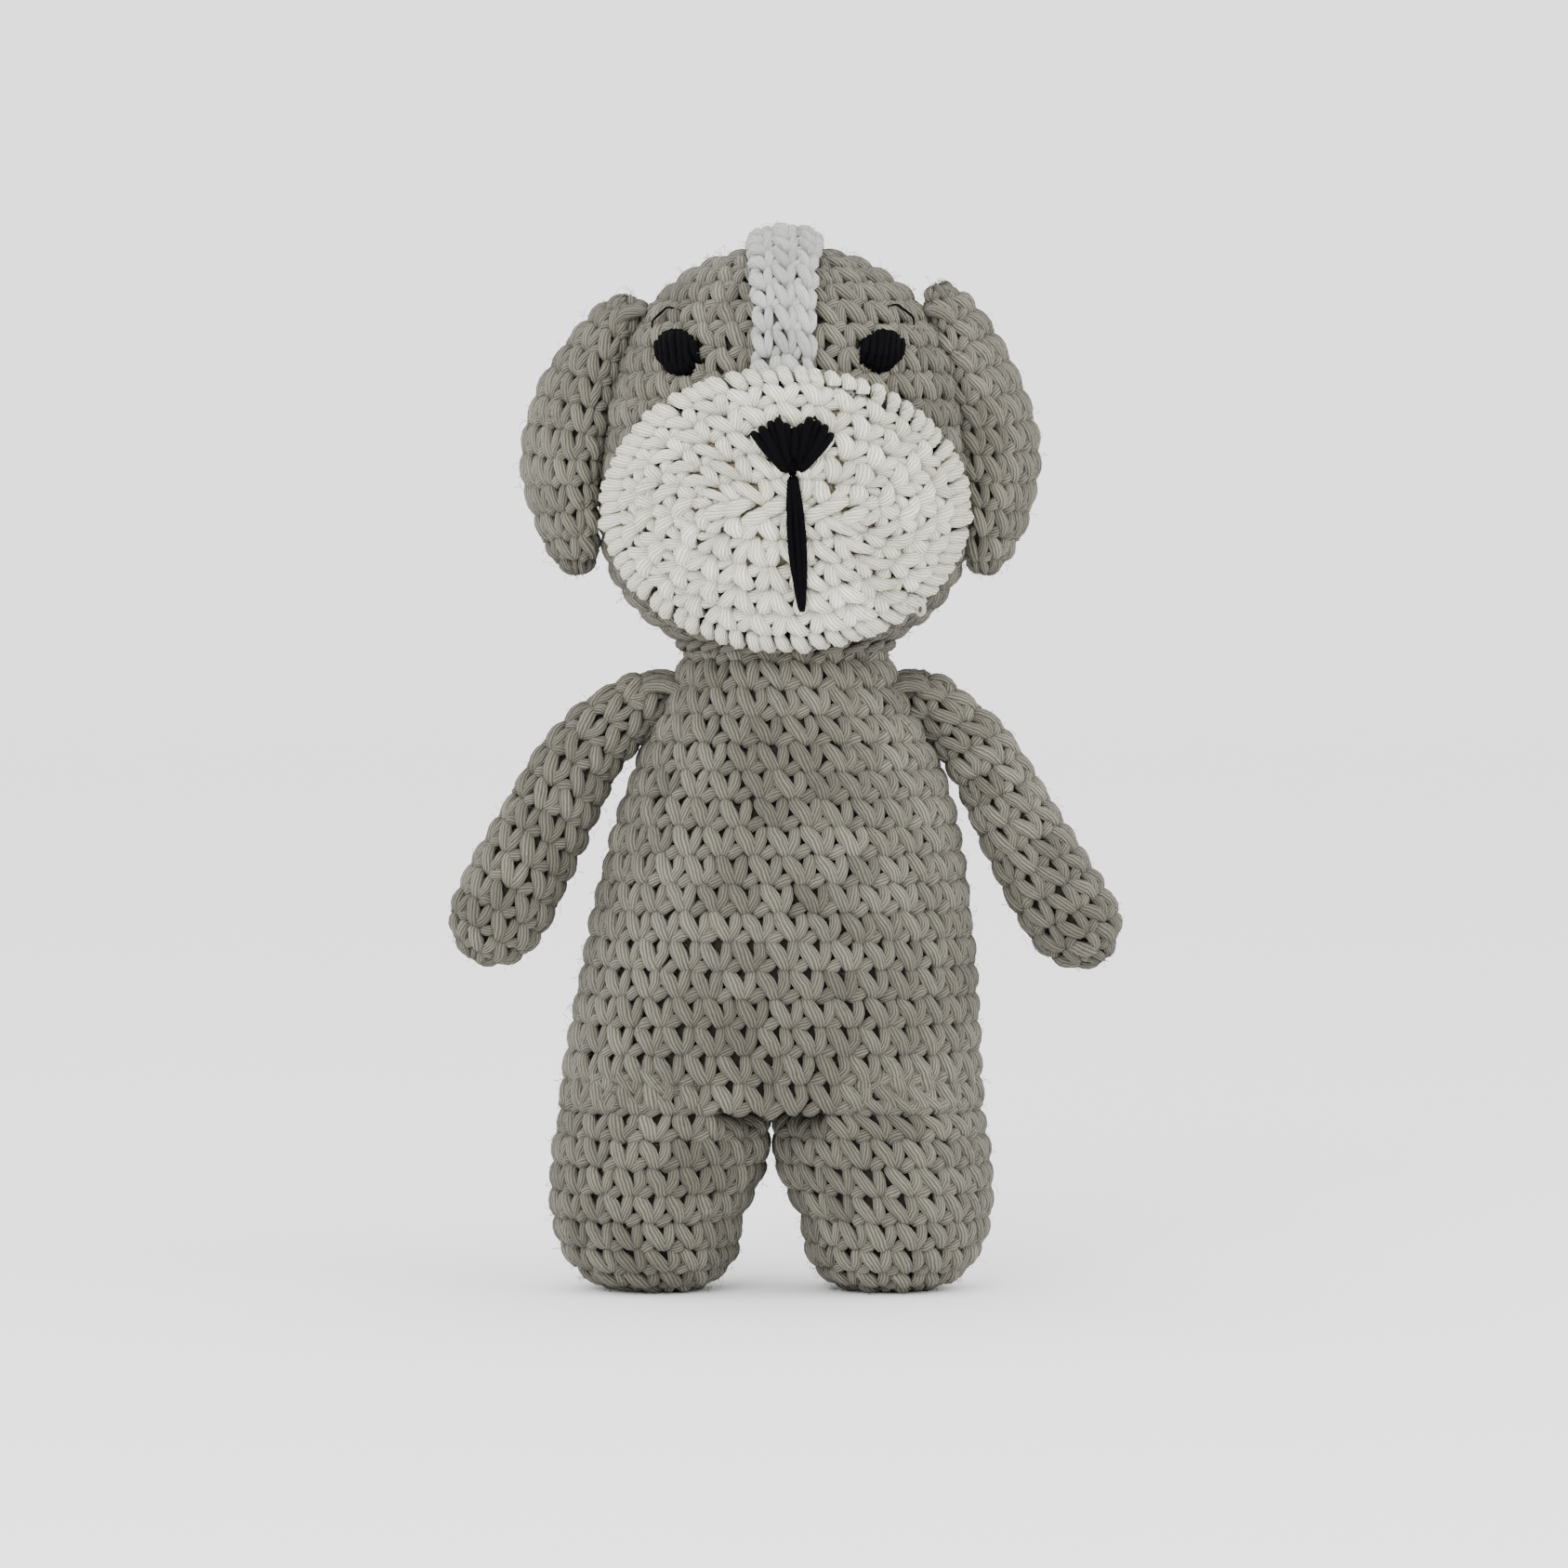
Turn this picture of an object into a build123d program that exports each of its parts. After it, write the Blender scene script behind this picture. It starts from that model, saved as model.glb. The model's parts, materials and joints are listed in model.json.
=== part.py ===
from build123d import *
import os
from math import asin, cos, degrees, radians, sin

# A crocheted, stuffed toy dog that stands upright. Millimetres, +Z up. The face looks along -Y, and
# the origin lies on the ground below the middle of the whole toy. Left and right are the dog's own:
# its left is +X. The pieces are drawn about the neck's axis and then set back by NECK_Y.
os.makedirs("parts", exist_ok=True)

# --- cloth and clearances ------------------------------------------------------------------------
FABRIC = 3.0          # thickness of single crochet in a 6 mm gauge
FILL_GAP = 0.1        # between a cover and the filling inside it
JOINT_GAP = 0.4       # between soft pieces that move against each other
YARN = 1.6            # diameter of the sewing yarn
NECK_Y = 4.1          # the neck's axis lies behind the middle of the toy, because the muzzle juts forward

# --- trunk: height, centre x, half width, half depth ----------------------------------------------
CROTCH_Z = 33.6
NECK_Z = 118.0
NECK_R = 20.1
TRUNK = [
    (CROTCH_Z, -2.9, 40.6, 21.6),
    (50.0, -2.0, 38.7, 24.6),
    (66.0, -1.0, 36.6, 25.2),
    (84.0, -0.1, 33.4, 24.2),
    (98.0, 0.6, 29.4, 22.4),
    (108.0, 0.6, 25.0, 20.8),
    (113.5, 0.3, 21.6, 20.2),
    (NECK_Z, 0.0, NECK_R, NECK_R),
]

SIDE = {"left": 1, "right": -1}

# --- legs -----------------------------------------------------------------------------------------
LEG_X = {"left": 18.9, "right": -24.2}
LEG_HALF_WIDTH = 20.1
LEG_HALF_DEPTH = 21.0
SOLE_R = 9.0          # flat of the sole
SOLE_RISE = 16.0      # height over which the foot rounds up into the leg
LEG_TOP_Z = 44.0
LEG_TOP_TAPER = 4.0   # by which the leg narrows inside the trunk
LEG_SPLIT_X = -2.65   # plane between the legs
HIP_Z = 33.0
HIP_R = 22.0
HIP_FORWARD = 30.0
HIP_BACK = 15.0

# --- head: half profile (radius, height) ----------------------------------------------------------
NECK_PIVOT_Z = 112.0
NECK_BALL_R = 21.2
HEAD_PROFILE = [(10.0, 120.0), (18.8, 122.0), (27.6, 127.0), (33.2, 135.0), (35.4, 147.0), (35.2, 159.0)]
HEAD_PROFILE += [(32.9, 172.0), (27.4, 183.4), (18.4, 192.0), (9.0, 195.7)]
HEAD_BOTTOM_Z = 119.4
NECK_SEAM_TILT = 24.0  # rise of the neck's seam above the pivot's level, in degrees
HEAD_TOP_Z = 196.6

# --- muzzle, stripe and embroidery ----------------------------------------------------------------
MUZZLE_Z = 147.2
MUZZLE_HALF_WIDTH = 33.7
MUZZLE_HALF_HEIGHT = 25.6
MUZZLE_FORWARD = 7.0  # how far the muzzle's surface is carried in front of the head's
MUZZLE_PROFILE = [(17.6, 121.0), (30.4, 132.0), (35.2, 147.0), (34.6, 160.0), (29.8, 172.8), (19.0, 183.0)]
STRIPE_HALF_WIDTH = 7.4
STRIPE_THICK = 3.2
STRIPE_BACK_Y = 11.0
EYES = {"left": (17.2, 176.3, 4.0), "right": (-19.4, 176.1, 4.2)}   # x, z, radius
EYE_PROUD = 1.5
EYE_TILT = -22.0      # degrees by which an eye looks up
EYE_EDGE_R = 1.1
BROWS = {"left": ((19.6, 185.0), (24.2, 181.6)), "right": ((-20.6, 184.3), (-25.2, 181.2))}
THREAD_R = 0.45
BROW_SINK = 0.35      # how deep a brow's middle lies in the cloth
NOSE_X = 1.5
NOSE_Z = 159.2
NOSE_PROUD = 1.3
MOUTH_TOP_Z = 153.6
MOUTH_BOTTOM_Z = 128.7
MOUTH_HALF_WIDTH = 1.3

# --- ears: centre line (x, z), then half thickness and half width; mirrored for the dog's right ---
EAR_TURN = 24.0       # the flap's broad face turns this far forward
EAR_STATIONS = [
    (33.4, 184.6, 2.6, 6.0),
    (38.4, 178.6, 3.9, 10.0),
    (42.6, 170.0, 4.5, 12.4),
    (45.4, 158.0, 4.6, 13.0),
    (45.0, 147.0, 4.3, 10.6),
    (43.2, 141.0, 3.9, 8.4),
]
EAR_ROOT_REACH = 2.6
EAR_TIP_REACH = 6.6
EAR_SEAM = (29.6, 184.4)   # x, z of the yarn that sews an ear on
SEAM_LENGTH = 12.0         # of the yarn at an ear or an arm

# --- arms: centre line (x, z) and radius; the last station is the centre of the rounded hand ------
ARM_ROOT = (28.8, 111.0, 5.6)
ARM_SEAM = (21.9, 115.6)   # x, z of the yarn that sews an arm on
ARM_STATIONS = {
    "left": [(34.0, 106.6, 6.4), (42.4, 90.2, 7.7), (50.4, 75.2, 8.8), (54.6, 69.2, 8.9)],
    "right": [(35.4, 106.0, 7.2), (45.0, 88.6, 8.6), (51.8, 74.6, 9.3), (54.4, 70.2, 9.3)],
}


def write(piece, name):
    """Sets a finished sub-part in its place, labels it and writes its STEP."""
    placed = piece.part.moved(Location((0, NECK_Y, 0)))
    placed.label = name
    export_step(placed, f"parts/{name}.step")


def faired(stations, steps=3):
    """Stations on a smooth (Catmull-Rom) curve through the given ones."""
    ends = [stations[0]] + stations + [stations[-1]]
    result = []
    for p0, p1, p2, p3 in zip(ends, ends[1:], ends[2:], ends[3:]):
        for step in range(steps):
            t = step / steps
            result.append(tuple(
                b + 0.5 * t * (c - a + t * (2 * a - 5 * b + 4 * c - d + t * (3 * (b - c) + d - a)))
                for a, b, c, d in zip(p0, p1, p2, p3)
            ))
    return result + [stations[-1]]


def lofted(sections):
    """A solid through elliptical sections: (plane, half length along its x, half length along its y)."""
    with BuildPart() as tube:
        for plane, half_x, half_y in sections:
            with BuildSketch(plane):
                Ellipse(half_x, half_y)
        loft(ruled=True)
    return tube.part


def trunk_solid(inset):
    """The trunk, inset by a wall; the inner one runs out through the open neck."""
    sections = []
    for z, x, half_width, half_depth in faired(TRUNK):
        lift = inset if z == CROTCH_Z else 0.0
        sections.append((Plane((x, 0, z + lift)), half_width - inset, half_depth - inset))
    if inset:
        sections.append((Plane((0, 0, NECK_Z + 1)), NECK_R - inset, NECK_R - inset))
    return lofted(sections)


def leg_solid(side, inset):
    """A leg with a rounded foot and a small flat sole, inset by a wall."""
    width, depth = LEG_HALF_WIDTH - inset, LEG_HALF_DEPTH - inset
    sections = []
    for turn in (0, 15, 30, 45, 60, 75, 90):
        centre = (LEG_X[side], 0, inset + (SOLE_RISE - inset) * (1 - cos(radians(turn))))
        spread = sin(radians(turn))
        sections.append((Plane(centre), SOLE_R + (width - SOLE_R) * spread, SOLE_R + (depth - SOLE_R) * spread))
    sections.append((Plane((LEG_X[side], 0, HIP_Z - 3)), width, depth))
    sections.append((Plane((LEG_X[side], 0, LEG_TOP_Z)), width - LEG_TOP_TAPER, depth - LEG_TOP_TAPER))
    return lofted(sections)


def pants(inset):
    """Trunk and both legs as one solid."""
    trunk = trunk_solid(inset)
    legs = [leg_solid(side, inset) for side in SIDE]
    with BuildPart() as whole:
        add(trunk)
        add(legs)
    return whole.part


def hip_barrel(radius):
    """A cylinder across both hips, with everything below its axis."""
    reach = 60.0
    with BuildPart() as barrel:
        with BuildSketch(Plane.YZ.offset(-reach)):
            with Locations((0, HIP_Z)):
                Circle(radius)
                Rectangle(2 * radius, 2 * reach, align=(Align.CENTER, Align.MAX))
        extrude(amount=2 * reach)
    return barrel.part


def hip_recess():
    """The room that the legs need under the trunk as they swing forward and back."""
    reach = 60.0
    radius = HIP_R + JOINT_GAP
    with BuildPart() as recess:
        with BuildSketch(Plane.YZ.offset(-reach)):
            with Locations((0, HIP_Z)):
                Circle(radius)
            for swing in (-HIP_FORWARD - 1, 0, HIP_BACK + 1):
                with Locations(Location((0, HIP_Z), swing)):
                    Rectangle(2 * radius, 2 * reach, align=(Align.CENTER, Align.MAX))
        extrude(amount=2 * reach)
    return recess.part


def leg_room(side, barrel):
    """The barrel's half on one side of the plane between the legs."""
    with BuildPart() as room:
        add(barrel)
        with BuildSketch(Plane.XY.offset(-40)):
            with Locations((LEG_SPLIT_X + SIDE[side] * (100 + JOINT_GAP / 2), 0)):
                Rectangle(200, 200)
        extrude(amount=200, mode=Mode.INTERSECT)
    return room.part


def turned(profile, bottom_z, top_z, centre_y=0.0):
    """A solid of revolution about a vertical axis, its poles closed smoothly."""
    with BuildPart() as egg:
        with BuildSketch(Plane.XZ.offset(-centre_y)):
            with BuildLine():
                Spline((0, bottom_z), *profile, (0, top_z))
                Line((0, top_z), (0, bottom_z))
            make_face()
        revolve(axis=Axis((0, centre_y, 0), (0, 0, 1)))
    return egg.part


def head_solid(grow):
    """The head's egg, grown or shrunk along its profile."""
    middle = (HEAD_BOTTOM_Z + HEAD_TOP_Z) / 2
    scale = 1 + grow / ((HEAD_TOP_Z - HEAD_BOTTOM_Z) / 2)
    wide = 1 + grow / 35.4
    profile = [(r * wide, middle + (z - middle) * scale) for r, z in HEAD_PROFILE]
    return turned(profile, HEAD_BOTTOM_Z - grow, HEAD_TOP_Z + grow)


def muzzle_solid(inset, forward):
    """The muzzle's bulging oval, cut from an egg set forward of the head's."""
    profile = [(r - inset, z) for r, z in MUZZLE_PROFILE]
    low, high = MUZZLE_PROFILE[0][1] - 2.5, MUZZLE_PROFILE[-1][1] + 6.0
    egg = turned(profile, low, high, -forward)
    with BuildPart() as oval:
        add(egg)
        with BuildSketch(Plane.XZ):
            with Locations((0, MUZZLE_Z)):
                Ellipse(MUZZLE_HALF_WIDTH - inset, MUZZLE_HALF_HEIGHT - inset)
        extrude(amount=70, mode=Mode.INTERSECT)
    return oval.part


def head_depth(x, z, solid):
    """Where a line along +Y at (x, z) enters a solid: the y of its front surface."""
    hits = solid.find_intersection_points(Axis((x, -100, z), (0, 1, 0)))
    return min(point.Y for point, normal in hits)


def flap(centres, start, tip, turn=0.0):
    """A loft of ellipses square to a bent centre line in the XZ plane, rounded at both ends.

    centres: (x, z, half thickness, half width); start and tip: how far the ends round out beyond the
    first and last of them; turn rolls each ellipse about the centre line.
    """
    stations = faired(centres)
    rounding = [(sin(radians(angle)), cos(radians(angle))) for angle in (20, 40, 58, 74, 87)]
    ends = []
    for (x, z, thick, wide), (x1, z1, *_), reach in (
        (stations[0], stations[1], start),
        (stations[-1], stations[-2], tip),
    ):
        out = Vector(x - x1, z - z1).normalized() * reach
        ends.append([
            (x + out.X * along, z + out.Y * along, thick * narrow, wide * narrow)
            for along, narrow in rounding
        ])
    stations = ends[0][::-1] + stations + ends[1]
    sections = []
    for index, (x, z, thick, wide) in enumerate(stations):
        before, after = stations[max(index - 1, 0)], stations[min(index + 1, len(stations) - 1)]
        along = Vector(after[0] - before[0], 0, after[1] - before[1]).normalized()
        across = Vector(0, 1, 0).cross(along).rotate(Axis((0, 0, 0), along), turn)
        sections.append((Plane(origin=(x, 0, z), x_dir=across, z_dir=along), thick, wide))
    return lofted(sections)


def arm_solid(side, inset):
    """An arm from its rounded root at the shoulder to its rounded hand."""
    centres = [
        (SIDE[side] * x, z, radius - inset, radius - inset)
        for x, z, radius in [ARM_ROOT] + ARM_STATIONS[side]
    ]
    return flap(centres, centres[0][2], centres[-1][2])


def ear_solid(side):
    """A flat, double-layer flap hanging from the side of the head."""
    centres = [(SIDE[side] * x, z, thick, wide) for x, z, thick, wide in EAR_STATIONS]
    return flap(centres, EAR_ROOT_REACH, EAR_TIP_REACH, SIDE[side] * EAR_TURN)


pants_outer = pants(0)
pants_inner = pants(FABRIC)
head_outer = head_solid(0)
head_inner = head_solid(-FABRIC)
arms_outer = {side: arm_solid(side, 0) for side in SIDE}

# --- trunk ----------------------------------------------------------------------------------------
recess = hip_recess()
with BuildPart() as torso_cover:
    add(pants_outer)
    add(pants_inner, mode=Mode.SUBTRACT)
    add(recess, mode=Mode.SUBTRACT)
    for side, sign in SIDE.items():
        with Locations((sign * ARM_ROOT[0], 0, ARM_ROOT[1])):
            Sphere(ARM_ROOT[2] + JOINT_GAP, mode=Mode.SUBTRACT)
write(torso_cover, "torso_cover")

with BuildPart() as torso_stuffing:
    add(pants(FABRIC + FILL_GAP))
    add(recess, mode=Mode.SUBTRACT)
    with BuildSketch(Plane.XY.offset(NECK_Z)):
        Circle(60)
    extrude(amount=20, mode=Mode.SUBTRACT)
write(torso_stuffing, "torso_stuffing")

# --- legs -----------------------------------------------------------------------------------------
barrel = hip_barrel(HIP_R)
for side in SIDE:
    room = leg_room(side, barrel)
    with BuildPart() as leg_cover:
        add(pants_outer)
        add(pants_inner, mode=Mode.SUBTRACT)
        add(room, mode=Mode.INTERSECT)
    write(leg_cover, f"{side}_leg_cover")

    with BuildPart() as leg_stuffing:
        add(pants(FABRIC + FILL_GAP))
        add(room, mode=Mode.INTERSECT)
    write(leg_stuffing, f"{side}_leg_stuffing")

# --- neck and head --------------------------------------------------------------------------------
with BuildPart() as neck_stuffing:
    with Locations((0, 0, NECK_PIVOT_Z)):
        Sphere(NECK_BALL_R)
    with BuildSketch(Plane.XY.offset(NECK_Z + JOINT_GAP)):
        Circle(NECK_BALL_R)
    extrude(amount=NECK_BALL_R, mode=Mode.INTERSECT)
write(neck_stuffing, "neck_stuffing")

seam_reach = NECK_BALL_R + JOINT_GAP + YARN / 2
seam_r = seam_reach * cos(radians(NECK_SEAM_TILT))
seam_z = NECK_PIVOT_Z + seam_reach * sin(radians(NECK_SEAM_TILT))
with BuildPart() as neck_seam_yarn:
    with Locations((0, 0, seam_z)):
        Torus(seam_r, YARN / 2)
write(neck_seam_yarn, "neck_seam_yarn")

with BuildPart() as head_cover:
    add(head_outer)
    add(head_inner, mode=Mode.SUBTRACT)
    with Locations((0, 0, NECK_PIVOT_Z)):
        Sphere(NECK_BALL_R + JOINT_GAP, mode=Mode.SUBTRACT)
    add(neck_seam_yarn.part, mode=Mode.SUBTRACT)
write(head_cover, "head_cover")

with BuildPart() as head_stuffing:
    add(head_solid(-FABRIC - FILL_GAP))
    with Locations((0, 0, NECK_PIVOT_Z)):
        Sphere(NECK_BALL_R + JOINT_GAP, mode=Mode.SUBTRACT)
    add(neck_seam_yarn.part, mode=Mode.SUBTRACT)
write(head_stuffing, "head_stuffing")

# --- muzzle ---------------------------------------------------------------------------------------
muzzle_outer = muzzle_solid(0, MUZZLE_FORWARD)
muzzle_inner = muzzle_solid(FABRIC, MUZZLE_FORWARD)
neck_room_r = NECK_BALL_R + JOINT_GAP + YARN + 0.1
with BuildPart() as muzzle_cover:
    add(muzzle_outer)
    add(muzzle_inner, mode=Mode.SUBTRACT)
    add(head_outer, mode=Mode.SUBTRACT)
    with Locations((0, 0, NECK_PIVOT_Z)):
        Sphere(neck_room_r, mode=Mode.SUBTRACT)
write(muzzle_cover, "muzzle_cover")

with BuildPart() as muzzle_stuffing:
    add(muzzle_solid(FABRIC + FILL_GAP, MUZZLE_FORWARD))
    add(head_outer, mode=Mode.SUBTRACT)
write(muzzle_stuffing, "muzzle_stuffing")

head_grown = head_solid(YARN / 2)
with BuildPart() as muzzle_seam_yarn:
    with BuildSketch(Plane.XZ):
        with Locations((0, MUZZLE_Z)):
            Ellipse(MUZZLE_HALF_WIDTH + YARN / 2, MUZZLE_HALF_HEIGHT + YARN / 2)
            Ellipse(MUZZLE_HALF_WIDTH, MUZZLE_HALF_HEIGHT, mode=Mode.SUBTRACT)
    extrude(amount=70)
    add(head_grown, mode=Mode.INTERSECT)
    add(head_outer, mode=Mode.SUBTRACT)
    with Locations((0, 0, NECK_PIVOT_Z)):
        Sphere(neck_room_r, mode=Mode.SUBTRACT)
write(muzzle_seam_yarn, "muzzle_seam_yarn")

# --- stripe from the muzzle over the crown --------------------------------------------------------
with BuildPart() as forehead_stripe:
    add(head_solid(STRIPE_THICK))
    with BuildSketch(Plane.XY.offset(150)):
        with BuildLine():
            FilletPolyline(
                (-STRIPE_HALF_WIDTH, -60),
                (-STRIPE_HALF_WIDTH, STRIPE_BACK_Y),
                (STRIPE_HALF_WIDTH, STRIPE_BACK_Y),
                (STRIPE_HALF_WIDTH, -60),
                radius=4,
            )
            Line((STRIPE_HALF_WIDTH, -60), (-STRIPE_HALF_WIDTH, -60))
        make_face()
    extrude(amount=80, mode=Mode.INTERSECT)
    add(head_outer, mode=Mode.SUBTRACT)
    add(muzzle_outer, mode=Mode.SUBTRACT)
    with BuildSketch(Plane.XZ):
        with Locations((0, MUZZLE_Z)):
            Ellipse(MUZZLE_HALF_WIDTH + YARN / 2, MUZZLE_HALF_HEIGHT + YARN / 2)
    extrude(amount=70, mode=Mode.SUBTRACT)
write(forehead_stripe, "forehead_stripe")

# --- embroidery -----------------------------------------------------------------------------------
for side, (x, z, radius) in EYES.items():
    front = head_depth(x, z, head_outer)
    slope = degrees(asin(x / HEAD_PROFILE[4][0]))
    with BuildPart() as eye:
        with Locations(Location((x, front, z), (EYE_TILT, 0, slope))):
            Cylinder(radius, 2 * EYE_PROUD + 2, rotation=(90, 0, 0))
        fillet(eye.edges(), radius=EYE_EDGE_R)
        add(head_outer, mode=Mode.SUBTRACT)
    write(eye, f"{side}_eye")

for side, ((x0, z0), (x1, z1)) in BROWS.items():
    lift = THREAD_R + BROW_SINK
    start = Vector(x0, head_depth(x0, z0, head_outer) - lift, z0)
    end = Vector(x1, head_depth(x1, z1, head_outer) - lift, z1)
    with BuildPart() as eyebrow:
        with BuildSketch(Plane(origin=start, z_dir=end - start)):
            Circle(THREAD_R)
        extrude(amount=(end - start).length)
        add(head_outer, mode=Mode.SUBTRACT)
    write(eyebrow, f"{side}_eyebrow")

proud = muzzle_solid(0, MUZZLE_FORWARD + NOSE_PROUD)
with BuildPart() as nose:
    with BuildSketch(Plane.XZ.shift_origin((NOSE_X, 0, NOSE_Z))):
        with BuildLine():
            Spline((0, 2.3), (-3.2, 5.0), (-7.2, 3.4), (-3.4, -2.4), (0, -5.2))
            Spline((0, -5.2), (3.4, -2.4), (7.2, 2.4), (3.2, 5.0), (0, 2.3))
        make_face()
    extrude(amount=70)
    add(proud, mode=Mode.INTERSECT)
    add(muzzle_outer, mode=Mode.SUBTRACT)
write(nose, "nose")

with BuildPart() as mouth_stitch:
    with BuildSketch(Plane.XZ):
        with Locations((NOSE_X + 0.6, (MOUTH_TOP_Z + MOUTH_BOTTOM_Z) / 2)):
            Ellipse(MOUTH_HALF_WIDTH, (MOUTH_TOP_Z - MOUTH_BOTTOM_Z) / 2)
    extrude(amount=70)
    add(proud, mode=Mode.INTERSECT)
    add(muzzle_outer, mode=Mode.SUBTRACT)
write(mouth_stitch, "mouth_stitch")

# --- ears and arms, each with the yarn that sews it on --------------------------------------------
for side, sign in SIDE.items():
    with BuildPart() as ear_cover:
        add(ear_solid(side))
    write(ear_cover, f"{side}_ear_cover")

    with BuildPart() as ear_seam_yarn:
        with Locations((sign * EAR_SEAM[0], 0, EAR_SEAM[1])):
            Cylinder(YARN / 2, SEAM_LENGTH, rotation=(90, 0, 0))
        add(head_outer, mode=Mode.SUBTRACT)
    write(ear_seam_yarn, f"{side}_ear_seam_yarn")

    with BuildPart() as arm_cover:
        add(arms_outer[side])
        add(arm_solid(side, FABRIC), mode=Mode.SUBTRACT)
    write(arm_cover, f"{side}_arm_cover")

    with BuildPart() as arm_stuffing:
        add(arm_solid(side, FABRIC + FILL_GAP))
    write(arm_stuffing, f"{side}_arm_stuffing")

    with BuildPart() as arm_seam_yarn:
        with Locations((sign * ARM_SEAM[0], 0, ARM_SEAM[1])):
            Cylinder(YARN / 2, SEAM_LENGTH, rotation=(90, 0, 0))
        add(pants_outer, mode=Mode.SUBTRACT)
    write(arm_seam_yarn, f"{side}_arm_seam_yarn")
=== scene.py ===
import json
import math

import bmesh
import bpy
import numpy as np
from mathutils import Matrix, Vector
from mathutils.bvhtree import BVHTree


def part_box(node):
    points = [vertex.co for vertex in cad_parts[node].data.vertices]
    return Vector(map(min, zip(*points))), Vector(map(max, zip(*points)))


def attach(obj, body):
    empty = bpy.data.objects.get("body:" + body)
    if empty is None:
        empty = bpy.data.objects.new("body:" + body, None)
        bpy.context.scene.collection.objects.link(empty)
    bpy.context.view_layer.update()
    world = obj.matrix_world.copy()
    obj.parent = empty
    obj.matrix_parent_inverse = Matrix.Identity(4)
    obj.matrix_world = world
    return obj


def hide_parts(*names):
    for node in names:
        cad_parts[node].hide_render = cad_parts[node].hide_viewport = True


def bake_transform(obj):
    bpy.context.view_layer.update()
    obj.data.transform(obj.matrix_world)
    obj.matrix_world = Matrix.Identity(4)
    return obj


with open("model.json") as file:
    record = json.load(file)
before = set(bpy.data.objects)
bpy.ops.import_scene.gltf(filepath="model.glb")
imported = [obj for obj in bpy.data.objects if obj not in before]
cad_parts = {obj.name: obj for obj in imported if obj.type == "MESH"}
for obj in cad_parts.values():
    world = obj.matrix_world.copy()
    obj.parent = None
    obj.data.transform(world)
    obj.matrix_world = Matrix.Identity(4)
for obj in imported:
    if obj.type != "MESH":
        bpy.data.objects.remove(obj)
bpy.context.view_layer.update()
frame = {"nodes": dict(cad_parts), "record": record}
random = np.random.default_rng(11)

# --- yarn and gauge, in metres --------------------------------------------------------------------
STITCH = 0.0063       # width of one single crochet
ROW = 0.00525         # height of one round
YARN_R = 0.00132      # half the width of a strand as it bulges in a stitch
AROUND = 14           # vertices round a strand, two to each ply ridge
FLATTEN = 0.84        # how far the stitches are pressed flat by the tight fabric
LEAN = 0.22           # how far each round is shifted against the one below, in stitches
UNEVEN = (0.03, 0.02, 0.03)  # how stitches differ: place across, place along, thickness
MOST_TRIANGLES = 190000  # in one piece of crochet
HAIR_SIDES = 3
HAIR_R = 0.000042     # half the width of a loose fibre
REACH = 0.06          # from where rays look in at the head, trunk and face
LIMB_REACH = 0.03     # from where they look in at an arm or ear
LEG_REACH = 0.0235    # short of the other leg
IN_FRONT = -0.1       # the y of a place well in front of the toy


def solid_tree(nodes):
    """A search tree over the outer walls of some CAD nodes."""
    verts, faces = [], []
    for name in nodes:
        mesh = frame["nodes"][name].data
        start = len(verts)
        verts += [v.co.copy() for v in mesh.vertices]
        faces += [[start + i for i in p.vertices] for p in mesh.polygons]
    return BVHTree.FromPolygons(verts, faces)


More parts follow.
